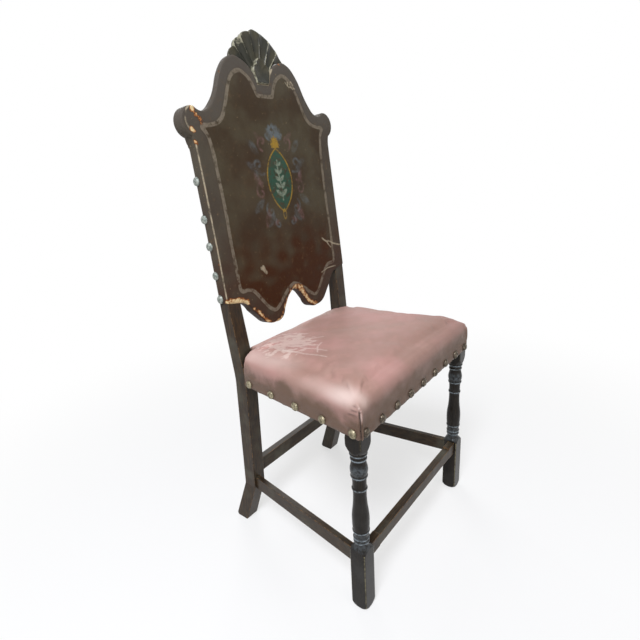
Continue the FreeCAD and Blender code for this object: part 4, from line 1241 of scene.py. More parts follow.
@dataclass(frozen=True)
class Ornament:
    """A generic painted ornament: a pointed oval with a leaf spray, a palmette and soft scrolls.

    A side leaf is its colour, foot, turn from upright, and half width and half length. A curl is its
    colour, centre, first angle, turns, radius, way round and width. Both are mirrored to the left.
    """

    x: float
    z: float
    half_width: float = 41.0
    half_height: float = 74.0
    outline: float = 3.4
    spray_levels: tuple[float, ...] = (-38, -20, -2, 16, 34)
    side_leaves: tuple = (
        ("scroll", (58, 62), 0.75, (11, 25)),
        ("scroll", (60, 22), 1.05, (10, 28)),
        ("mauve", (62, -16), 0.55, (10, 24)),
        ("scroll", (64, -38), 2.25, (11, 26)),
        ("mauve", (50, -58), 2.75, (11, 28)),
        ("scroll", (34, -78), 2.35, (9, 22)),
        ("scroll", (74, 4), 0.15, (8, 22)),
        ("mauve", (40, 92), 0.9, (8, 17)),
        ("mauve", (18, -92), 2.0, (7, 16)),
    )
    curls: tuple = (
        ("scroll", (66, 40), -2.2, 1.1, 26, 1, 3.6),
        ("mauve", (70, -24), 2.0, 1.1, 24, -1, 3.4),
        ("scroll", (46, -70), 1.2, 1.0, 22, -1, 3.2),
        ("mauve", (42, 92), -1.4, 1.0, 21, 1, 3.4),
        ("scroll", (26, -104), 1.0, 0.9, 15, -1, 3.0),
    )

    def oval(self, x: Array, z: Array, half_width: float, half_height: float) -> Array:
        """How deep a place lies in a pointed oval, the overlap of two equal circles, below 0 outside."""
        radius = (half_width**2 + half_height**2) / (2 * half_width)
        return radius - np.hypot(np.abs(x) + radius - half_width, z)

    def leaf(self, x: Array, z: Array, at: tuple, turn: float, size: tuple) -> Array:
        """Works out a leaf: a pointed oval that stands on a place and is turned from upright.

        Args:
            x: places to the right of the middle.
            z: places above it.
            at: the leaf's foot.
            turn: its turn to the right, in radians.
            size: its half width and half length.

        Returns:
            How deep each place lies in the leaf, below 0 outside.
        """
        dx, dz = x - at[0], z - at[1]
        along = dx * math.sin(turn) + dz * math.cos(turn) - size[1]
        beside = dx * math.cos(turn) - dz * math.sin(turn)
        return self.oval(beside, along, *size)

    def spiral(self, centre: tuple, start: float, turns: float, radius: float, way: int) -> Array:
        """Draws a scroll that winds in: its radius falls with each turn as an exponential.

        Args:
            centre: the middle that it winds round.
            start: the angle of its outer end, in radians.
            turns: how often it goes round.
            radius: its outer radius.
            way: 1 for anticlockwise, -1 for clockwise.

        Returns:
            Points along it, as rows.
        """
        t = np.linspace(0, 1, 34)
        angle = start + way * t * turns * 2 * math.pi
        reach = radius * np.exp(-1.9 * t)
        return np.stack([centre[0] + reach * np.cos(angle), centre[1] + reach * np.sin(angle)], axis=1)

    def spray(self, x: Array, z: Array) -> Array:
        """Works out the leaf spray: a waved stem with a pair of smaller leaves at each level.

        Args:
            x: places to the right of the middle.
            z: places above it.

        Returns:
            A share from 0 to 1 for each place.
        """
        found = (1 - ramp(np.abs(x + 2 * np.sin(z / 18)), 1.2, 2.8)) * (np.abs(z) < 50)
        for k, level in enumerate(self.spray_levels):
            size = (5.6 - 0.5 * k, 13.0 - 1.3 * k)
            for way in (-1, 1):
                found = np.maximum(found, ramp(self.leaf(x, z, (0, level), way * 0.85, size), -0.4, 1.0))
        return found

    def gilding(self, x: Array, z: Array, deep: Array) -> Array:
        """Works out what is ochre: the oval's outline, a fan of small leaves, its band, and a drop.

        Args:
            x: places to the right of the middle.
            z: places above it.
            deep: how deep they lie in the oval.

        Returns:
            A share from 0 to 1 for each place.
        """
        found = ramp(deep, -self.outline, -self.outline + 1.2) * (1 - ramp(deep, -0.6, 0.8))
        for k in range(-3, 4):
            petal = self.leaf(x, z, (0, self.half_height + 6), k * 0.38, (4.2, 13.5 - abs(k) * 1.6))
            found = np.maximum(found, ramp(petal, -0.4, 1.0))
        band = (np.abs(z - self.half_height - 5) < 2.2) & (np.abs(x) < 13)
        drop = self.leaf(x, -z, (0, self.half_height - 4), 0.0, (5.0, 12.0))
        found = np.maximum(found, band)
        return np.maximum(found, ramp(drop, -2.2, -1.0) * (1 - ramp(drop, 0, 1.2)))

    def fields(self, points: Array) -> dict[str, Array]:
        """Works out every painted field of the ornament.

        Args:
            points: places on the board, as rows of x and rise.

        Returns:
            By name, a share from 0 to 1 for each place.
        """
        x, z = points[:, 0] - self.x, points[:, 1] - self.z
        deep = self.oval(x, z, self.half_width, self.half_height)
        green = ramp(deep, 0, 1.6)
        gilt = self.gilding(x, z, deep)
        faded = {"scroll": np.zeros(len(x)), "mauve": np.zeros(len(x))}
        wide = np.abs(x)
        for shade, at, turn, size in self.side_leaves:
            along = (wide - at[0]) * math.cos(turn) - (z - at[1]) * math.sin(turn)
            veins = 0.72 + 0.28 * np.cos(along * 2.1)
            value = ramp(self.leaf(wide, z, at, turn, size), -1.5, 5.0) * veins * 0.75
            faded[shade] = np.maximum(faded[shade], value)
        flat = np.stack([wide, z], axis=1)
        for shade, centre, start, turns, radius, way, width in self.curls:
            gap = path_distance(flat, self.spiral(centre, start, turns, radius, way))
            value = 0.75 * (1 - ramp(gap, width * 0.4, width * 1.3))
            faded[shade] = np.maximum(faded[shade], value)
        for k in range(-3, 4):
            petal = self.leaf(x, z, (0, self.half_height + 24), k * 0.42, (10.5, 18.5 - 0.6 * abs(k)))
            value = ramp(petal, -1.5, 3.0) * (1.35 - 0.06 * abs(k))
            faded["scroll"] = np.maximum(faded["scroll"], value)
        clear = (deep < -4) * (gilt < 0.3)
        kept = np.clip(0.72 + 0.35 * ripple(x, z, 24, 21) + 0.2 * ripple(x, z, 7, 22), 0.1, 1)
        found = {shade: values * kept * clear for shade, values in faded.items()}
        return {"leaf": green, "gilt": gilt, "spray": self.spray(x, z) * green} | found


@dataclass
class Shell:
    """The carved shell: seven hollow flutes between round ridges, and a domed tongue in front."""

    plan: Plan
    back: PaintedBack
    finish: bpy.types.Material
    hub: float = 470.0
    rim: float = 124.0
    droop: float = 17.0
    scallop: float = 6.5
    step: float = 16.0
    flutes: int = 7
    front: float = 1.0
    rear: float = 11.3
    hollow: float = 6.0
    flute_steps: int = 24
    tongue_foot: float = 477.0
    tongue_middle: float = 503.0
    tongue_rear: float = 6.0
    tongue_top: float = 533.0
    tongue_left: Spots = ((-19, 477), (-23, 492), (-25.5, 505), (-22, 515), (-15, 519), (-11, 527))

    def build(self) -> Piece:
        """Makes the fan: for each way out from the hub, its face, its rim and its back.

        The face sinks between the ridges as 1 less the square of the place across a flute, raised to
        0.8, and the rim bulges out over each flute as a half circle.

        Returns:
            The fan, with its painted highlight on the ridges, partly rubbed paint.
        """
        step = math.radians(self.step)
        half = step * self.flutes / 2
        turn = np.linspace(-half, half, self.flute_steps * self.flutes + 1)
        across = (turn / step + self.flutes / 2) % 1 * 2 - 1
        across[-1] = 1
        outwards = np.clip(np.abs(turn) / step / (self.flutes // 2), 0, 1)
        bulge = np.sqrt(np.clip(1 - across**2, 0, 1))
        rim = self.rim - self.droop * outwards - self.scallop * (1 - bulge)
        start = self.leave(turn)
        r = start + (rim - start) * np.linspace(0, 1, 34)[:, None]
        dip = (1 - across**2) ** 0.8 * self.hollow * ramp(r / self.rim, 0.05, 0.55)
        lift = 1.92 * ramp(r / self.rim, 0.35, 1.0)
        face = self.front + dip - lift
        edge_inset = np.array([-0.6, -0.28, 0.28])[:, None]
        edge_share = np.array([0.25, 0.5, 0.8])[:, None]
        edge = face[-1] + (self.rear - face[-1]) * edge_share
        back = self.rear + 0 * r
        radius = np.concatenate([r, rim - edge_inset, r[::-1]])
        depth = np.concatenate([face, edge, back])
        rows, columns = radius.shape
        x = radius * np.sin(turn)
        z = self.hub + radius * np.cos(turn)
        faces = [tuple(q) for q in grid_faces(rows, columns, close_rows=True)]
        low = np.arange(rows // 2)
        high = rows - 1 - low
        for column in (0, columns - 1):
            ends = np.stack([low[:-1], low[1:], high[1:], high[:-1]], axis=1) * columns + column
            faces += [tuple(q) for q in ends]
        piece = make_piece("carved_shell_fan", self.plan.board(x, depth, z), faces, self.finish)
        # Painted highlight with some rubbed paint: broad ridges on the right half, thin ones and one patch
        # on the left half, and a band along the rim.
        right = ramp(turn, 0.05, 0.6)
        ridge = np.abs(across) ** (6 - 3 * right) * (0.42 + 0.5 * right)
        ridge = ridge + ramp(radius / rim, 0.93, 1.0) * 0.35
        ridge = ridge + 0.5 * bell(turn + 0.5, 0.3) * ramp(radius / rim, 0.62, 0.95)
        ridge[len(r) + len(edge):] = 0
        store(piece, "ridge", np.clip(ridge, 0, 1).ravel())
        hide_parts("shell_crest")
        return piece

    def leave(self, turn: Array) -> Array:
        """Finds where each way out from the hub leaves the leather of the board for good.

        Args:
            turn: the ways, in radians to the right of upright.

        Returns:
            One radius a way, evened over its neighbours.
        """
        loop = self.back.outline(3.4)
        r = np.linspace(0, self.rim, 260)
        x = r[:, None] * np.sin(turn)
        z = self.hub + r[:, None] * np.cos(turn)
        held = inside(np.stack([x.ravel(), z.ravel()], axis=1), loop).reshape(x.shape)
        last = np.where(held.any(axis=0), len(r) - 1 - np.argmax(held[::-1], axis=0), 0)
        reach, window = 3, 7
        padded = np.pad(r[last] + 1.0, reach, mode="edge")
        smooth = np.convolve(padded, np.ones(window) / window, mode="valid")
        return np.maximum(smooth, r[last] + 0.5).clip(4.0, self.rim - 14)

    def tongue(self) -> Piece:
        """Makes the tongue: a lobed outline with a dome inside a raised rim.

        The dome's height is 1 less the square of the way out, raised to 0.8.

        Returns:
            The tongue, with a painted highlight on its rim, partly rubbed paint.
        """
        right = [(-x, z) for x, z in reversed(self.tongue_left)]
        rim = smooth_path([*self.tongue_left, (0, self.tongue_top), *right], 7)
        sill_x = np.linspace(right[-1][0], self.tongue_left[0][0], 12)[1:-1]
        rim = np.concatenate([rim, np.stack([sill_x, np.full(len(sill_x), self.tongue_foot)], axis=1)])
        middle = np.array([0.0, self.tongue_middle])
        share = np.array([0.0, 0.2, 0.4, 0.6, 0.74, 0.84, 0.91, 0.96, 0.99, 1.0])
        flat = middle + (rim - middle) * share[:, None, None]
        dome = 5.0 * (1 - (share / 0.86) ** 2).clip(0, 1) ** 0.8
        rise = (-6.4 + dome + 5.0 * ramp(share, 0.93, 1.0) ** 2)[:, None] + 0 * flat[:, :, 0]
        rear = np.full((2, len(rim)), self.tongue_rear)
        x, z = (np.concatenate([flat[:, :, k], flat[-1:, :, k], flat[:1, :, k]]) for k in (0, 1))
        depth = np.concatenate([rise, rear])
        faces = grid_faces(len(x), len(rim), close_columns=True)
        piece = make_piece("carved_shell_tongue", self.plan.board(x, depth, z), faces, self.finish)
        rows = np.concatenate([share, [1.0, 0.0]])
        # Painted highlight round the tongue's rim, partly rubbed paint.
        store(piece, "ridge", np.repeat(0.8 * ramp(rows, 0.86, 0.96), len(rim)))
        return piece


@dataclass
class NailRow:
    """A row of domed nails, each a hammered dome on a flat rim."""

    finish: bpy.types.Material
    radius: float = 10.0
    dome: float = 6.2
    steps: int = 20
    out_shares: tuple[float, ...] = (0.0, 0.25, 0.48, 0.68, 0.83, 0.93, 0.99, 1.0, 0.97, 0.0)
    height_shares: tuple[float, ...] = (1.0, 0.975, 0.89, 0.75, 0.56, 0.36, 0.14, 0.03, -0.04, -0.04)

    def build(self, name: str, node: str, places: Array, ways: Array) -> Piece:
        """Places one dome at each nail.

        A dome's profile follows listed shares of its radius and height, and each nail has its
        own slight unevenness and lean.

        Args:
            name: the piece's name.
            node: the solid that it stands for.
            places: the middle of each nail's base, in metres.
            ways: the direction that each nail faces.

        Returns:
            The row of heads, as one piece.
        """
        turn = np.linspace(0, 2 * math.pi, self.steps, endpoint=False)
        out, high = np.array(self.out_shares)[:, None], np.array(self.height_shares)[:, None]
        rng = np.random.default_rng(40 + len(places))
        reach = self.radius * MM * (1 + rng.uniform(-0.05, 0.05, (len(places), 1, len(turn))))
        lean = rng.uniform(-0.06, 0.06, (len(places), 2, 1, 1))
        flat_x = out * np.cos(turn) * reach
        flat_y = out * np.sin(turn) * reach
        rise = high * self.dome * MM + 0 * flat_x
        rise = rise + (flat_x * lean[:, 0] + flat_y * lean[:, 1]) * (rise > 0)
        ways = ways / np.linalg.norm(ways, axis=1, keepdims=True)
        side = np.cross(np.array([0.0, 0.0, 1.0]), ways)
        side /= np.linalg.norm(side, axis=1, keepdims=True)
        lift = np.cross(ways, side)
        points = places[:, None, None] + flat_x[..., None] * side[:, None, None]
        points = points + flat_y[..., None] * lift[:, None, None] + rise[..., None] * ways[:, None, None]
        one = grid_faces(len(out), len(turn), close_columns=True)
        faces = np.concatenate([one + k * len(out) * len(turn) for k in range(len(places))])
        piece = make_piece(name, points.reshape(-1, 3), faces, self.finish)
        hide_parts(node)
        return piece


@dataclass
class Seat:
    """The stuffed seat: a crowned leather pad, its nails, and the cloth and straps under it."""

    plan: Plan
    hide: bpy.types.Material
    nail: bpy.types.Material
    painted_shade_nail: bpy.types.Material
    linen: bpy.types.Material
    hessian: bpy.types.Material
    skirt_bottom: float = 441.0
    skirt_top: float = 465.0
    crown: float = 540.0
    growth: float = 2.3
    rear: float = 390.0
    under: float = 492.8
    corner_radius: float = 4.0
    post_inner: float = 174.5
    post_outer: float = 260.0
    post_gap: float = 1.2
    voxel: float = 5.0
    quick_voxel: float = 8.0
    frames: int = 20
    cap: float = 9.0
    sink: float = 0.4
    nail_rise: float = 11.0
    front_nails: tuple[float, float, int] = (-242.0, 242.0, 9)
    rear_nails: tuple[float, float, int] = (-157.5, 157.5, 5)
    side_nails: tuple[float, float, int] = (17.0, 340.0, 5)
    corner_reach: float = 60.0
    edge: float = 5.0
    strap_half_width: float = 25.0
    long_straps: tuple[float, float, int] = (-126.0, 126.0, 5)
    cross_straps: int = 4
    cross_start: float = 38.0
    cloth_level: float = 491.9
    shares: Spots = (
        (0.00, 0.0000), (0.16, -0.0045), (0.32, -0.0065), (0.48, -0.0045), (0.60, 0.0040), (0.69, 0.0160),
        (0.77, 0.0380), (0.84, 0.0750), (0.90, 0.1350), (0.95, 0.2200), (0.98, 0.3300), (1.00, 0.4800),
    )
    crease_lines: Rows = ((503.0, 3.0, 24.0), (494.0, 4.0, 31.0), (511.0, 5.0, 17.0))
    scratches: tuple[tuple[Spots, float], ...] = (
        (((-176, 263), (-168, 205), (-159, 150)), 0.8),
        (((-150, 232), (-138, 196), (-133, 168)), 0.7),
        (((-102, 207), (-126, 200), (-150, 182)), 0.7),
        (((-92, 240), (-70, 226)), 0.6),
    )

    def ring(self, drawn: float, z: float) -> Array:
        """Draws a closed ring round the seat, drawn in from the rails, with round corners.

        At each corner the arc's middle lies on the line that halves the corner, at the radius over
        the sine of half the angle, and the arc starts at the radius over its tangent.

        Args:
            drawn: how far the ring is drawn in.
            z: its height.

        Returns:
            Rows of x, y and z, in millimetres.
        """
        shift = drawn - self.growth
        front, rear = shift, self.rear - shift
        front_x = float(self.plan.rail_x(front)) - shift
        rear_x = float(self.plan.rail_x(rear)) - shift
        radius = self.corner_radius + max(drawn, 0) * 0.45
        corners = np.array(((front_x, front), (rear_x, rear), (-rear_x, rear), (-front_x, front)))
        points = []
        for k, here in enumerate(corners):
            before, after = corners[k - 1] - here, corners[(k + 1) % len(corners)] - here
            before, after = before / np.hypot(*before), after / np.hypot(*after)
            half = math.acos(float(before @ after)) / 2
            middle = here + (before + after) / np.hypot(*(before + after)) * radius / math.sin(half)
            start = here + before * radius / math.tan(half) - middle
            end = here + after * radius / math.tan(half) - middle
            total = math.atan2(start[0] * end[1] - start[1] * end[0], float(start @ end))
            angle = math.atan2(start[1], start[0]) + total * np.linspace(0, 1, 9)
            points.append(middle + radius * np.stack([np.cos(angle), np.sin(angle)], axis=1))
        loop = np.concatenate(points)
        return np.column_stack([loop, np.full(len(loop), z)])

    def body(self) -> Piece:
        """Makes the closed form of the pad, from the leather's lower edge to the crown.

        Returns:
            The pad before it is notched and puffed.
        """
        rings = [self.ring(0.0, self.skirt_bottom)]
        for high, drawn in self.shares:
            z = self.skirt_top + (self.crown - 3.5 - self.skirt_top) * high
            rings.append(self.ring(drawn * self.plan.front_half_width + 1.2 * high, z))
        rows = np.stack(rings)
        middle = rows[-1].mean(axis=0) + np.array([0, 0, 0.6])
        points = np.concatenate([rows.reshape(-1, 3), [middle, rows[0].mean(axis=0)]])
        count = rows.shape[1]
        faces = [tuple(q) for q in grid_faces(len(rows), count, close_columns=True)]
        top, low = (len(rows) - 1) * count, len(rows) * count
        faces += [(top + k, top + (k + 1) % count, low) for k in range(count)]
        faces += [((k + 1) % count, k, low + 1) for k in range(count)]
        return make_piece("rose_leather_seat", self.plan.world(*points.T), faces, self.hide)

    def notch_posts(self, pad: Piece) -> None:
        """Cuts the pad round the two back posts, with a little room.

        Args:
            pad: the pad, whose mesh is replaced.
        """
        size = Vector((self.post_outer - self.post_inner, 120.0, 200.0)) * MM
        x = (self.post_inner + self.post_outer) / 2
        y = self.plan.seat_bend_front + self.plan.leg_front - self.post_gap + 60.0
        blocks = []
        for side in (-1, 1):
            mesh = bpy.data.meshes.new("post_room")
            room = bmesh.new()
            bmesh.ops.create_cube(room, size=1.0)
            place = Matrix.Translation(Vector((side * x, y, 490.0)) * MM) @ Matrix.Diagonal((*size, 1))
            bmesh.ops.transform(room, matrix=place, verts=room.verts)
            room.to_mesh(mesh)
            room.free()
            block = bpy.data.objects.new("post_room", mesh)
            bpy.context.scene.collection.objects.link(block)
            blocks.append(block)
            add_modifier(pad, "BOOLEAN", object=block, operation="DIFFERENCE", solver="EXACT")
        bpy.context.view_layer.update()
        applied(pad)
        for block in blocks:
            bpy.data.objects.remove(block)

    def swell(self, pad: Piece) -> None:
        """Puffs the pad by a short cloth simulation under pressure, and caps how far it moves.

        What moves inwards past a small sink is put back, so that the rails stay covered.

        Args:
            pad: the pad, whose corners are moved.
        """
        before, normals = read_corners(pad), read_corners(pad, "normal")
        group = pad.vertex_groups.new(name="held")
        still = np.nonzero(before[:, 2] < (self.skirt_top - 6) * MM)[0]
        group.add(still.tolist(), 1.0, "REPLACE")
        cloth = add_modifier(pad, "CLOTH")
        cloth.settings.use_pressure = True
        cloth.settings.uniform_pressure_force = 4.0
        cloth.settings.effector_weights.gravity = 0.0
        cloth.settings.vertex_group_mass = "held"
        cloth.settings.tension_stiffness = 12
        cloth.settings.compression_stiffness = 12
        cloth.settings.bending_stiffness = 3
        cloth.point_cache.frame_start = 1
        cloth.point_cache.frame_end = self.frames
        for number in range(1, self.frames + 1):
            bpy.context.scene.frame_set(number)
        graph = bpy.context.evaluated_depsgraph_get()
        shaped = pad.evaluated_get(graph).to_mesh()
        after = np.empty(len(before) * 3)
        shaped.vertices.foreach_get("co", after)
        pad.evaluated_get(graph).to_mesh_clear()
        pad.modifiers.clear()
        bpy.context.scene.frame_set(1)
        move = after.reshape(-1, 3) - before
        far = np.linalg.norm(move, axis=1, keepdims=True)
        move = move * np.minimum(1, self.cap * MM / np.maximum(far, TINY))
        inwards = np.minimum(np.sum(move * normals, axis=1) + self.sink * MM, 0)
        set_corners(pad, before + move - inwards[:, None] * normals)
        pad.vertex_groups.clear()

    def side_slope(self) -> float:
        """How much narrower the seat gets for each step to the rear."""
        return float(self.plan.rail_x(0.0) - self.plan.rail_x(100.0)) / 100

    def nails(self) -> dict[str, tuple[Array, Array]]:
        """Works out where each of the seat's nails sits and faces.

        Returns:
            By node, the places in metres and the ways that the nails face.
        """
        z, out = self.skirt_bottom + self.nail_rise, self.growth
        way = np.array([1.0, self.side_slope(), 0.0]) / math.hypot(1, self.side_slope())
        mirror = np.array([-1, 1, 1])
        y = np.linspace(*self.side_nails)
        right = self.plan.world(self.plan.rail_x(y) + out * way[0], y + out * way[1], z)
        front = self.plan.world(np.linspace(*self.front_nails), -out, z)
        rear = self.plan.world(np.linspace(*self.rear_nails), self.rear + out, z)
        rows = {
            "front_seat_nails": (front, np.array([0.0, -1, 0])),
            "rear_seat_nails": (rear, np.array([0.0, 1, 0])),
            "right_seat_nails": (right, way),
            "left_seat_nails": (right * mirror, way * mirror),
        }
        return {node: (spots, np.tile(facing, (len(spots), 1))) for node, (spots, facing) in rows.items()}

    def fit_leather(self, pad: Piece) -> None:
        """Presses the leather in at each nail and lets its edge sag between them, by bell curves.

        Args:
            pad: the pad, whose corners are moved.
        """
        points, normals = read_corners(pad), read_corners(pad, "normal")
        places = np.concatenate([row[0] for row in self.nails().values()])
        near = np.linalg.norm(points[:, None] - places[None], axis=2).min(axis=1) / MM
        x, y, z = points.T / MM
        press = 1.7 * bell(near, 13)
        puff = 1.5 * ramp(near, 12, 30) * bell(z - 452, 12)
        upright = np.abs(normals[:, 2]) < 0.6
        waver = 0.7 * ripple(x, y, 55, 14) * ramp(z, 455, 500)
        move = (puff - press) * upright + waver
        set_corners(pad, points + normals * move[:, None] * MM)

    def from_corner(self, x: Array, y: Array) -> Array:
        """Distance along the edge from the nearer front corner: above 0 on the front, below on a side."""
        return self.plan.front_half_width - np.abs(x) - y

    def lip_line(self, z: Array) -> Array:
        """Where the fold's lip runs, as a distance from the corner: straight up, then round it."""
        return 4.6 - 9.0 * ramp(z, 498, 522)

    def corner_creases(self, run: Array, z: Array, width: float) -> Array:
        """Works out three creases that run from the fold along the side, a bell curve across each.

        Args:
            run: distances along the edge from the corner.
            z: heights.
            width: the creases' width.

        Returns:
            A share from 0 to 1 for each place.
        """
        found = np.zeros(len(run))
        for level, start, end in self.crease_lines:
            along = ramp(-run, start, start + 3) * (1 - ramp(-run, end - 10, end))
            found = np.maximum(found, bell(z - level - 0.08 * run, width) * along)
        return found

    def fold(self, pad: Piece) -> None:
        """Folds the leather at the two front corners, strongly at the left and lightly at the right.

        The front's leather stands as a lip over a slit, and three small creases run from it along
        the side. Each is a bell curve of the distance from its own line.

        Args:
            pad: the pad, whose corners are moved.
        """
        points, normals = read_corners(pad), read_corners(pad, "normal")
        x, y, z = points.T / MM
        y = y - self.plan.leg_front
        run, line = self.from_corner(x, y), self.lip_line(z)
        outwards = np.sign(x) * normals[:, 0] - normals[:, 1] > 0.3
        near = outwards & (np.abs(run) < self.corner_reach) & (y < self.corner_reach)
        high = ramp(z, self.skirt_bottom - 8, 449) * (1 - ramp(z, 510, 521)) * near
        lip = 4.0 * bell(run - line, np.where(run < line, 1.9, 4.8))
        groove = 2.4 * bell(run - line + 3.9, 2.2) * (1 - ramp(z, 498, 509))
        creases = 1.8 * self.corner_creases(run, z, 2.6)
        move = (lip - groove - creases) * high * np.where(x > 0, 0.45, 1.0)
        set_corners(pad, points + normals * move[:, None] * MM)

    def keep_clear(self, pad: Piece) -> None:
        """Moves whatever lies too near the rails outwards, along the nearest face of the frame.

        Args:
            pad: the pad, whose corners are moved.
        """
        points, normals = read_corners(pad), read_corners(pad, "normal")
        x, y, z = points.T / MM
        y = y - self.plan.leg_front
        side_reach = self.plan.rail_x(y)
        slope = self.side_slope()
        slant = 1 / math.hypot(1, slope)
        gaps = np.stack([-y, (np.abs(x) - side_reach) * slant, y - self.rear])
        ways = np.zeros((3, len(x), 3))
        ways[0, :, 1], ways[2, :, 1] = -1, 1
        ways[1, :, 0], ways[1, :, 1] = np.sign(x) * slant, slope * slant
        gap = gaps.max(axis=0)
        way = ways[np.argmax(gaps, axis=0), np.arange(len(x))]
        outer = np.sum(way * normals, axis=1) > 0
        need = np.where(outer, 1.2, 0.2)
        by_rail = (z < 490) & (gap > -12)
        move = np.where(by_rail, (need - gap).clip(0), 0)
        set_corners(pad, points + way * move[:, None] * MM)

    def open_under(self, pad: Piece) -> None:
        """Hollows the pad below the stuffing: a leather wall round the rails, and a flat underside.

        Args:
            pad: the pad, whose faces are changed.
        """
        wall = 2.0
        shape = bmesh.new()
        shape.from_mesh(pad.data)
        low = (self.skirt_bottom + 1.8) * MM
        bottom = [f for f in shape.faces if f.normal.z < -0.5 and f.calc_center_median().z < low]
        bmesh.ops.delete(shape, geom=bottom, context="FACES")
        rim = [e for e in shape.edges if e.is_boundary]
        for vertex in {v for e in rim for v in e.verts}:
            vertex.co.z = self.skirt_bottom * MM
        for inset, level in ((wall, self.skirt_bottom), (0.0, self.under)):
            made = bmesh.ops.extrude_edge_only(shape, edges=rim)["geom"]
            verts = [g for g in made if isinstance(g, bmesh.types.BMVert)]
            rim = [g for g in made if isinstance(g, bmesh.types.BMEdge)]
            shape.normal_update()
            ways = [Vector((vertex.normal.x, vertex.normal.y, 0)) for vertex in verts]
            for vertex, way in zip(verts, ways):
                if way.length > 0.01:
                    vertex.co -= way.normalized() * inset * MM
                vertex.co.z = level * MM
        bmesh.ops.holes_fill(shape, edges=rim, sides=0)
        bmesh.ops.triangulate(shape, faces=[f for f in shape.faces if len(f.verts) > 4])
        bmesh.ops.recalc_face_normals(shape, faces=shape.faces)
        shape.to_mesh(pad.data)
        shape.free()
        pad.data.shade_smooth()

    def colour(self, pad: Piece) -> None:
        """Keeps soil, painted shade, a painted highlight with some rubbing, peeling and scratches on the pad.

        Args:
            pad: the finished pad.
        """
        x, y, z = read_corners(pad).T / MM
        y = y - self.plan.leg_front
        normals = read_corners(pad, "normal")
        uneven = ripple(x + y, z * 1.6, 80, 31)
        left, front = ramp(-normals[:, 0], 0.35, 0.85), ramp(-normals[:, 1], 0.05, 0.85)

        # Soil lies in a band above the nails, with two blotches and a cleaner spot on the left.
        band = 1.05 - ramp(z, 452 + 8 * uneven, 520 + 8 * uneven)
        blotches = bell(y - 212, 42) * bell(z - 488, 26) + bell(y - 118, 34) * bell(z - 474, 24)
        clean = bell(y - 60, 46) * bell(z - 486, 22)
        store(pad, "soil", band * 1.12 + (blotches * 0.26 - clean * 0.22) * left)

        # Painted shade: the faces turned to the front and the left are darker low down. On top the pad is
        # also darker to the right and towards the front.
        low = front * 1.25 * (1 - ramp(z, 476, 540)) + left * (0.62 - 0.50 * ramp(z, 484, 520))
        top = 0.22 * ramp(x, 20, 240) + 0.26 * (1 - ramp(y, 20, 170)) * ramp(x, -170, 0)
        store(pad, "dim", np.clip(low + top * ramp(z, 500, 536), 0, 1))

        # Painted highlight, with a little real rubbing, along the left shoulder, at the near corner, at the
        # left rear and on the folds' lips.
        run, line = self.from_corner(x, y), self.lip_line(z)
        near = (np.abs(run) < self.corner_reach) & (y < self.corner_reach)
        shoulder = bell(x + 238, 17) * (1 - ramp(y, 20, 230)) * ramp(z, 496, 516)
        corner = bell(x + 250, 16) * bell(y - 46, 40) * ramp(z, 492, 514) * ramp(y, 4, 26)
        rear = bell(x + 206, 20) * ramp(y, 150, 260) * ramp(z, 505, 518)
        lip = bell(run - line, 1.7) * ramp(z, 446, 470) * (1 - ramp(z, 510, 519)) * near
        rubbed = 0.50 * shoulder + 0.62 * corner + 0.50 * rear + 0.60 * lip + 0.06 * uneven
        store(pad, "rubbed", np.clip(rubbed, 0, 1))

        # On top it has peeled left of the middle, and each scratch fades over 1.6 mm.
        peel = np.clip(1.2 - ((x + 138) / 78) ** 2 - ((y - 278) / 88) ** 2, 0, 1)
        store(pad, "peel", 0.66 * peel * (z > 510))
        points = np.stack([x, y], axis=1)
        gaps = [path_distance(points, np.array(path, float)) - width for path, width in self.scratches]
        store(pad, "scuff", 0.45 * (1 - ramp(np.min(gaps, axis=0), 0, 1.6)) * (z > 510))

        # Painted shade in the folds' slits and in the creases that run from them.
        slit = 0.92 * (1 - ramp(np.abs(run - line + 3.6), 1.3, 2.9)) * ramp(z, 444, 450)
        slit = slit * (1 - ramp(z, 500, 509))
        store(pad, "crease", np.maximum(slit, 0.55 * self.corner_creases(run, z, 1.7)) * near)

    def pad(self) -> Piece:
        """Makes the seat leather over its stuffing, puffed by a cloth simulation.

        Returns:
            The pad, with its worn and soiled fields.
        """
        pad = self.body()
        self.notch_posts(pad)
        size = self.voxel
        add_modifier(pad, "REMESH", mode="VOXEL", voxel_size=size * MM)
        applied(pad)
        self.swell(pad)
        self.fit_leather(pad)
        self.open_under(pad)
        add_modifier(pad, "SUBSURF", levels=1, render_levels=1)
        applied(pad)
        self.fold(pad)
        self.keep_clear(pad)
        pad.data.shade_smooth()
        self.colour(pad)
        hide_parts("seat_cover", "seat_stuffing")
        return pad

    def straps(self) -> Piece:
        """Makes the webbing, woven over and under: the height swings as a cosine between crossings.

        Returns:
            All nine straps, as one piece.
        """
        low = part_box("seat_webbing")[0].z / MM
        long_x = np.linspace(*self.long_straps)
        reach = self.plan.seat_bend_front - self.cross_start
        cross_y = self.cross_start + reach * (np.arange(self.cross_straps) + 0.5) / self.cross_straps
        across = np.linspace(-self.strap_half_width, self.strap_half_width, 9)[:, None]
        points, faces, first = [], [], 0
        for lengthways, centres, crossed in ((True, long_x, cross_y), (False, cross_y, long_x)):
            for index, centre in enumerate(centres):
                if lengthways:
                    along = np.linspace(self.edge, self.rear - self.edge, 96)
                else:
                    half = float(self.plan.rail_x(centre + self.strap_half_width)) - self.edge
                    along = np.linspace(-half, half, 110)
                phase = np.cos(math.pi * ((along - crossed[0]) / (crossed[1] - crossed[0]) + index))
                z = low + 1.5 + (0.75 if lengthways else -0.75) * phase
                x, y = (centre + across, along) if lengthways else (along, centre + across)
                points.append(self.plan.world(x, y, z))
                faces.append(grid_faces(len(across), len(along)) + first)
                first += len(points[-1])
        piece = make_piece("webbing_straps", np.concatenate(points), np.concatenate(faces), self.linen)
        add_modifier(piece, "SOLIDIFY", thickness=1.2 * MM, offset=0.0)
        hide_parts("seat_webbing")
        return piece

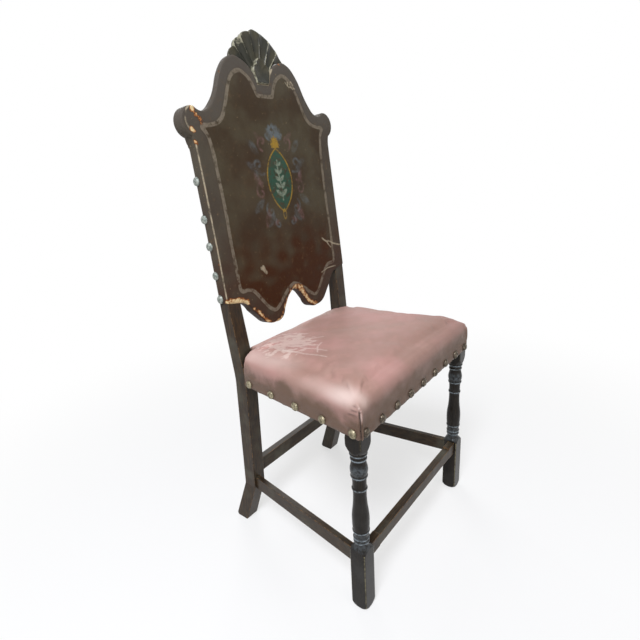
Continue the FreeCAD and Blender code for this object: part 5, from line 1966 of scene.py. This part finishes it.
    def cloth(self) -> Piece:
        """Makes the hessian over the straps: a stretched sheet that dips a little between them.

        Returns:
            The sheet. Its flat width is its mean width.
        """
        y = np.linspace(self.edge, self.rear - self.edge, 77)
        half = self.plan.rail_x(y) - self.edge
        half = np.where(y > 352, np.minimum(half, 171.0), half)
        x = np.linspace(-1, 1, 101)[:, None] * half
        dip = 0.2 * np.cos(x / 31.5 * math.pi) * np.cos((y - self.cross_start) / 40 * math.pi)
        points = self.plan.world(x, y, self.cloth_level + dip)
        piece = make_piece("hessian_sheet", points, grid_faces(*x.shape), self.hessian)
        add_modifier(piece, "SOLIDIFY", thickness=0.8 * MM, offset=0.0)
        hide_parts("seat_hessian")
        return piece

    def build(self) -> None:
        """Makes the pad, its nails, the straps and the cloth."""
        report(self.pad())
        for node, (places, ways) in self.nails().items():
            # The front row takes a darker copy of the brass: painted shade, as the front faces away from the
            # light.
            row = NailRow(self.painted_shade_nail if node.startswith("front") else self.nail)
            report(row.build(node.replace("_nails", "_nail_heads"), node, places, ways))
        report(self.straps())
        report(self.cloth())


@dataclass
class RearLeather:
    """The plain leather on the rear of the back, between and above the posts."""

    plan: Plan
    back: PaintedBack
    finish: bpy.types.Material
    inset: float = 10.0
    depth: float = 23.2
    top: float = 366.0
    post_inner: float = 187.4
    step: float = 9.0

    def build(self) -> Piece:
        """Makes a flat sheet cut to the board's outline, a little slack in its middle.

        Returns:
            The sheet.
        """
        loop = self.back.outline(-self.inset)
        loop = loop[loop[:, 1] < self.top]
        wide = np.where(loop[:, 1] > 352, 300, self.post_inner)
        loop[:, 0] = np.clip(loop[:, 0], -wide, wide)
        x, z = np.meshgrid(np.arange(-220, 221, self.step), np.arange(-80, 370, self.step))
        points = np.stack([x.ravel(), z.ravel()], axis=1)
        points = points[inside(points, loop)]
        flat, faces = triangulated(loop, points[loop_distance(points, loop) > 5])
        x, rise = flat.T
        slack = ramp(loop_distance(flat, loop), 0, 60) * (0.9 + 0.6 * ripple(x, rise, 120, 17))
        corners = self.plan.board(x, self.depth + slack + 0.6, rise)
        piece = make_piece("rear_back_leather", corners, faces, self.finish)
        add_modifier(piece, "SOLIDIFY", thickness=1.2 * MM, offset=0.0)
        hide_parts("outside_back_cover")
        return piece


def report(piece: Piece) -> None:
    """Logs a finished piece and its size."""
    log.info("%s: %d corners, %d faces", piece.name, len(piece.data.vertices), len(piece.data.polygons))


@dataclass
class BackNails:
    """The nails up each side of the back."""

    plan: Plan
    finish: bpy.types.Material
    rises: tuple[float, ...] = (11.1, 66.0, 132.5, 192.2, 273.0)
    depth: float = 20.0
    stand: float = 3.0

    def build(self) -> None:
        """Makes one row on each side."""
        row = NailRow(self.finish)
        for side, word in ((-1, "left"), (1, "right")):
            x = side * (self.plan.post_back_half_width + self.stand)
            places = self.plan.board(x, self.depth, np.array(self.rises))
            ways = np.tile([float(side), 0, 0], (len(self.rises), 1))
            report(row.build(word + "_back_nail_heads", word + "_back_nails", places, ways))


@dataclass
class Studio:
    """The pale floor, soft lamps and the camera at the photograph's place."""

    plan: Plan
    lens: float = 25.593
    spot: tuple[float, float, float] = (-863.788, -416.877, 943.992)
    right: tuple[float, float, float] = (0.61675773, -0.78486535, -0.05996905)
    up: tuple[float, float, float] = (0.29446674, 0.15939975, 0.94227441)
    ahead: tuple[float, float, float] = (0.72999948, 0.59881391, -0.32942777)
    floor_half: float = 30.0

    def camera(self) -> None:
        """Places the camera by its spot and its three directions."""
        data = bpy.data.cameras.new("camera")
        data.lens = self.lens
        data.sensor_width = 36.0
        data.clip_start = 0.01
        camera = bpy.data.objects.new("camera", data)
        bpy.context.scene.collection.objects.link(camera)
        back = -np.array(self.ahead)
        turn = Matrix([list(row) for row in np.array([self.right, self.up, back]).T]).to_4x4()
        x, y, z = self.spot
        place = Matrix.Translation(Vector((x, y + self.plan.leg_front, z)) * MM)
        camera.matrix_world = place @ turn
        bpy.context.scene.camera = camera

    def lamp(self, name: str, place: tuple, aim: tuple, size: float, watts: float, code: str) -> None:
        """Hangs a square lamp that points at a place.

        Args:
            name: the lamp's name.
            place: where it hangs, in metres.
            aim: where it points, in metres.
            size: its side, in metres.
            watts: its power.
            code: its hex colour.
        """
        data = bpy.data.lights.new(name, "AREA")
        data.size = size
        data.energy = watts
        data.color = linear(code)[:3]
        lamp = bpy.data.objects.new(name, data)
        bpy.context.scene.collection.objects.link(lamp)
        lamp.location = place
        lamp.rotation_euler = (Vector(aim) - Vector(place)).to_track_quat("-Z", "Y").to_euler()

    def seen(self, tree: bpy.types.NodeTree) -> Socket:
        """Finds the rays that show the background: the camera's, and those off gloss or through glass.

        Args:
            tree: the material's or the world's nodes.

        Returns:
            An output of 1 for those rays, and of 0 for the rest.
        """
        names = ("Is Camera Ray", "Is Glossy Ray", "Is Transmission Ray")
        camera, glossy, through = (add_node(tree, "LightPath", out=name) for name in names)
        either = add_node(tree, "Math", {"operation": "MAXIMUM"}, {0: camera, 1: glossy})
        return add_node(tree, "Math", {"operation": "MAXIMUM"}, {0: either, 1: through})

    def floor(self) -> None:
        """Lays a wide floor that shows near white and keeps the chair's shadow."""
        finish = bpy.data.materials.new("pale_floor")
        finish.use_nodes = True
        tree = finish.node_tree
        shader = tree.nodes["Principled BSDF"]
        shader.inputs["Base Color"].default_value = linear("#f4f3f1")
        shader.inputs["Roughness"].default_value = 0.9
        shader.inputs["Specular IOR Level"].default_value = 0.1
        place = add_node(tree, "TexCoord", out="Object")
        away = add_node(tree, "VectorMath", {"operation": "LENGTH"}, {0: place}, "Value")
        share = add_node(tree, "MapRange", SMOOTH | {LOW: 0.4, HIGH: 1.7, LEAST: 0.62, MOST: 1.0}, {0: away})
        glow = add_node(tree, "Emission", {"Color": "#ffffff", "Strength": 1.0})
        lit = add_node(tree, "MixShader", {}, {0: share, 1: shader.outputs[0], 2: glow})
        choice = add_node(tree, "MixShader", {}, {0: self.seen(tree), 1: shader.outputs[0], 2: lit})
        tree.links.new(choice, tree.nodes["Material Output"].inputs["Surface"])
        mesh = bpy.data.meshes.new("floor")
        half = self.floor_half
        corners = [(-half, -half, 0), (half, -half, 0), (half, half, 0), (-half, half, 0)]
        mesh.from_pydata(corners, [], [(0, 1, 2, 3)])
        mesh.materials.append(finish)
        floor = bpy.data.objects.new("floor", mesh)
        bpy.context.scene.collection.objects.link(floor)

    def world(self) -> None:
        """Gives pale light from all round, and white where the camera sees past the floor."""
        world = bpy.data.worlds.new("studio")
        world.use_nodes = True
        tree = world.node_tree
        ground = tree.nodes["Background"]
        ground.inputs["Color"].default_value = linear("#e9ecef")
        ground.inputs["Strength"].default_value = 0.30
        white = add_node(tree, "Background", {"Color": "#ffffff", "Strength": 1.0})
        choice = add_node(tree, "MixShader", {}, {0: self.seen(tree), 1: ground.outputs[0], 2: white})
        tree.links.new(choice, tree.nodes["World Output"].inputs["Surface"])
        bpy.context.scene.world = world

    def build(self) -> None:
        """Sets up the whole studio."""
        self.camera()
        self.world()
        self.floor()
        self.lamp("key_window", (-1.95, -0.85, 3.0), (0, 0, 0.6), 1.1, 112, "#f3f6ff")
        self.lamp("front_fill", (0.2, -3.1, 1.8), (0, 0, 0.6), 2.4, 16, "#fff8ee")
        self.lamp("rear_rim", (1.8, 2.2, 2.4), (0, 0, 0.8), 1.6, 28, "#ffffff")
        bpy.context.scene.view_settings.view_transform = "Standard"


def dress_frame() -> None:
    """Gives each wooden solid that stays its stained finish, with the grain along it."""
    woods = {}
    for grain in Grain:
        wear = 0.42 if grain is Grain.ACROSS else 0.47
        name = "stained_walnut_" + grain.name.lower()
        woods[grain] = StainedWood(name, 0.32, specular=0.20, grain=grain, wear=wear).material()
    rails = ("front_seat_rail", "rear_seat_rail", "crest_rail", "lower_back_rail")
    sides = ("left_side_stretcher", "right_side_stretcher", "left_seat_rail", "right_seat_rail")
    grains = {
        Grain.UPRIGHT: ("left_back_post", "right_back_post", "back_panel"),
        Grain.ACROSS: ("front_stretcher", "rear_stretcher", *rails),
        Grain.FORE_AND_AFT: sides,
    }
    for grain, nodes in grains.items():
        for node in nodes:
            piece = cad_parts[node]
            piece.data.materials.clear()
            piece.data.materials.append(woods[grain])


def main() -> None:
    """Builds the chair's dressed pieces in order and reports each."""
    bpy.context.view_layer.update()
    leg_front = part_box("front_seat_rail")[0].y / MM
    plan = Plan(leg_front)
    dress_frame()
    leg_wood = StainedWood(
        "turned_stained_walnut", 0.15, specular=0.15, wear=0.54, relief=0.3, dullness=0.08,
        body="#1a1714", streak="#251f18", bloom="#2b2926",
    )
    leg = TurnedLeg(plan, leg_wood.material())
    for side, word in ((-1, "left"), (1, "right")):
        report(leg.build(side, word + "_turned_leg", word + "_front_leg"))
    back = PaintedBack(plan, PaintedLeather("painted_calf_hide", specular=0.07).material())
    report(back.build())
    shell = Shell(plan, back, CarvedPaint("oil_painted_carving", 0.22, specular=0.28).material())
    report(shell.build())
    report(shell.tongue())
    report(RearLeather(plan, back, PlainHide("plain_calf_hide", 0.62, specular=0.25).material()).build())
    nail = ForgedNail("forged_brass_olive", 0.4, 0.7).material()
    # A darker copy of the brass, painted shade for the nails on the front.
    painted_shade_nail = ForgedNail("forged_brass_in_painted_shade", 0.42, 0.7, bright="#6b6153", dull="#3e372e").material()
    grey_nail = ForgedNail("forged_brass_verdigris", 0.45, 0.45, bright="#9ea198", dull="#6c746d").material()
    BackNails(plan, grey_nail).build()
    linen = WovenCloth("linen_webbing", 0.85, specular=0.2).material()
    jute = WovenCloth("jute_hessian", 0.9, specular=0.2, body="#94805c", shade="#5f5038", spacing=2.2)
    hide = SeatHide("rose_dyed_calf_hide", 0.5, specular=0.28, sheen=0.03).material()
    Seat(plan, hide, nail, painted_shade_nail, linen, jute.material()).build()
    Studio(plan).build()


if __name__ == "__main__":
    main()
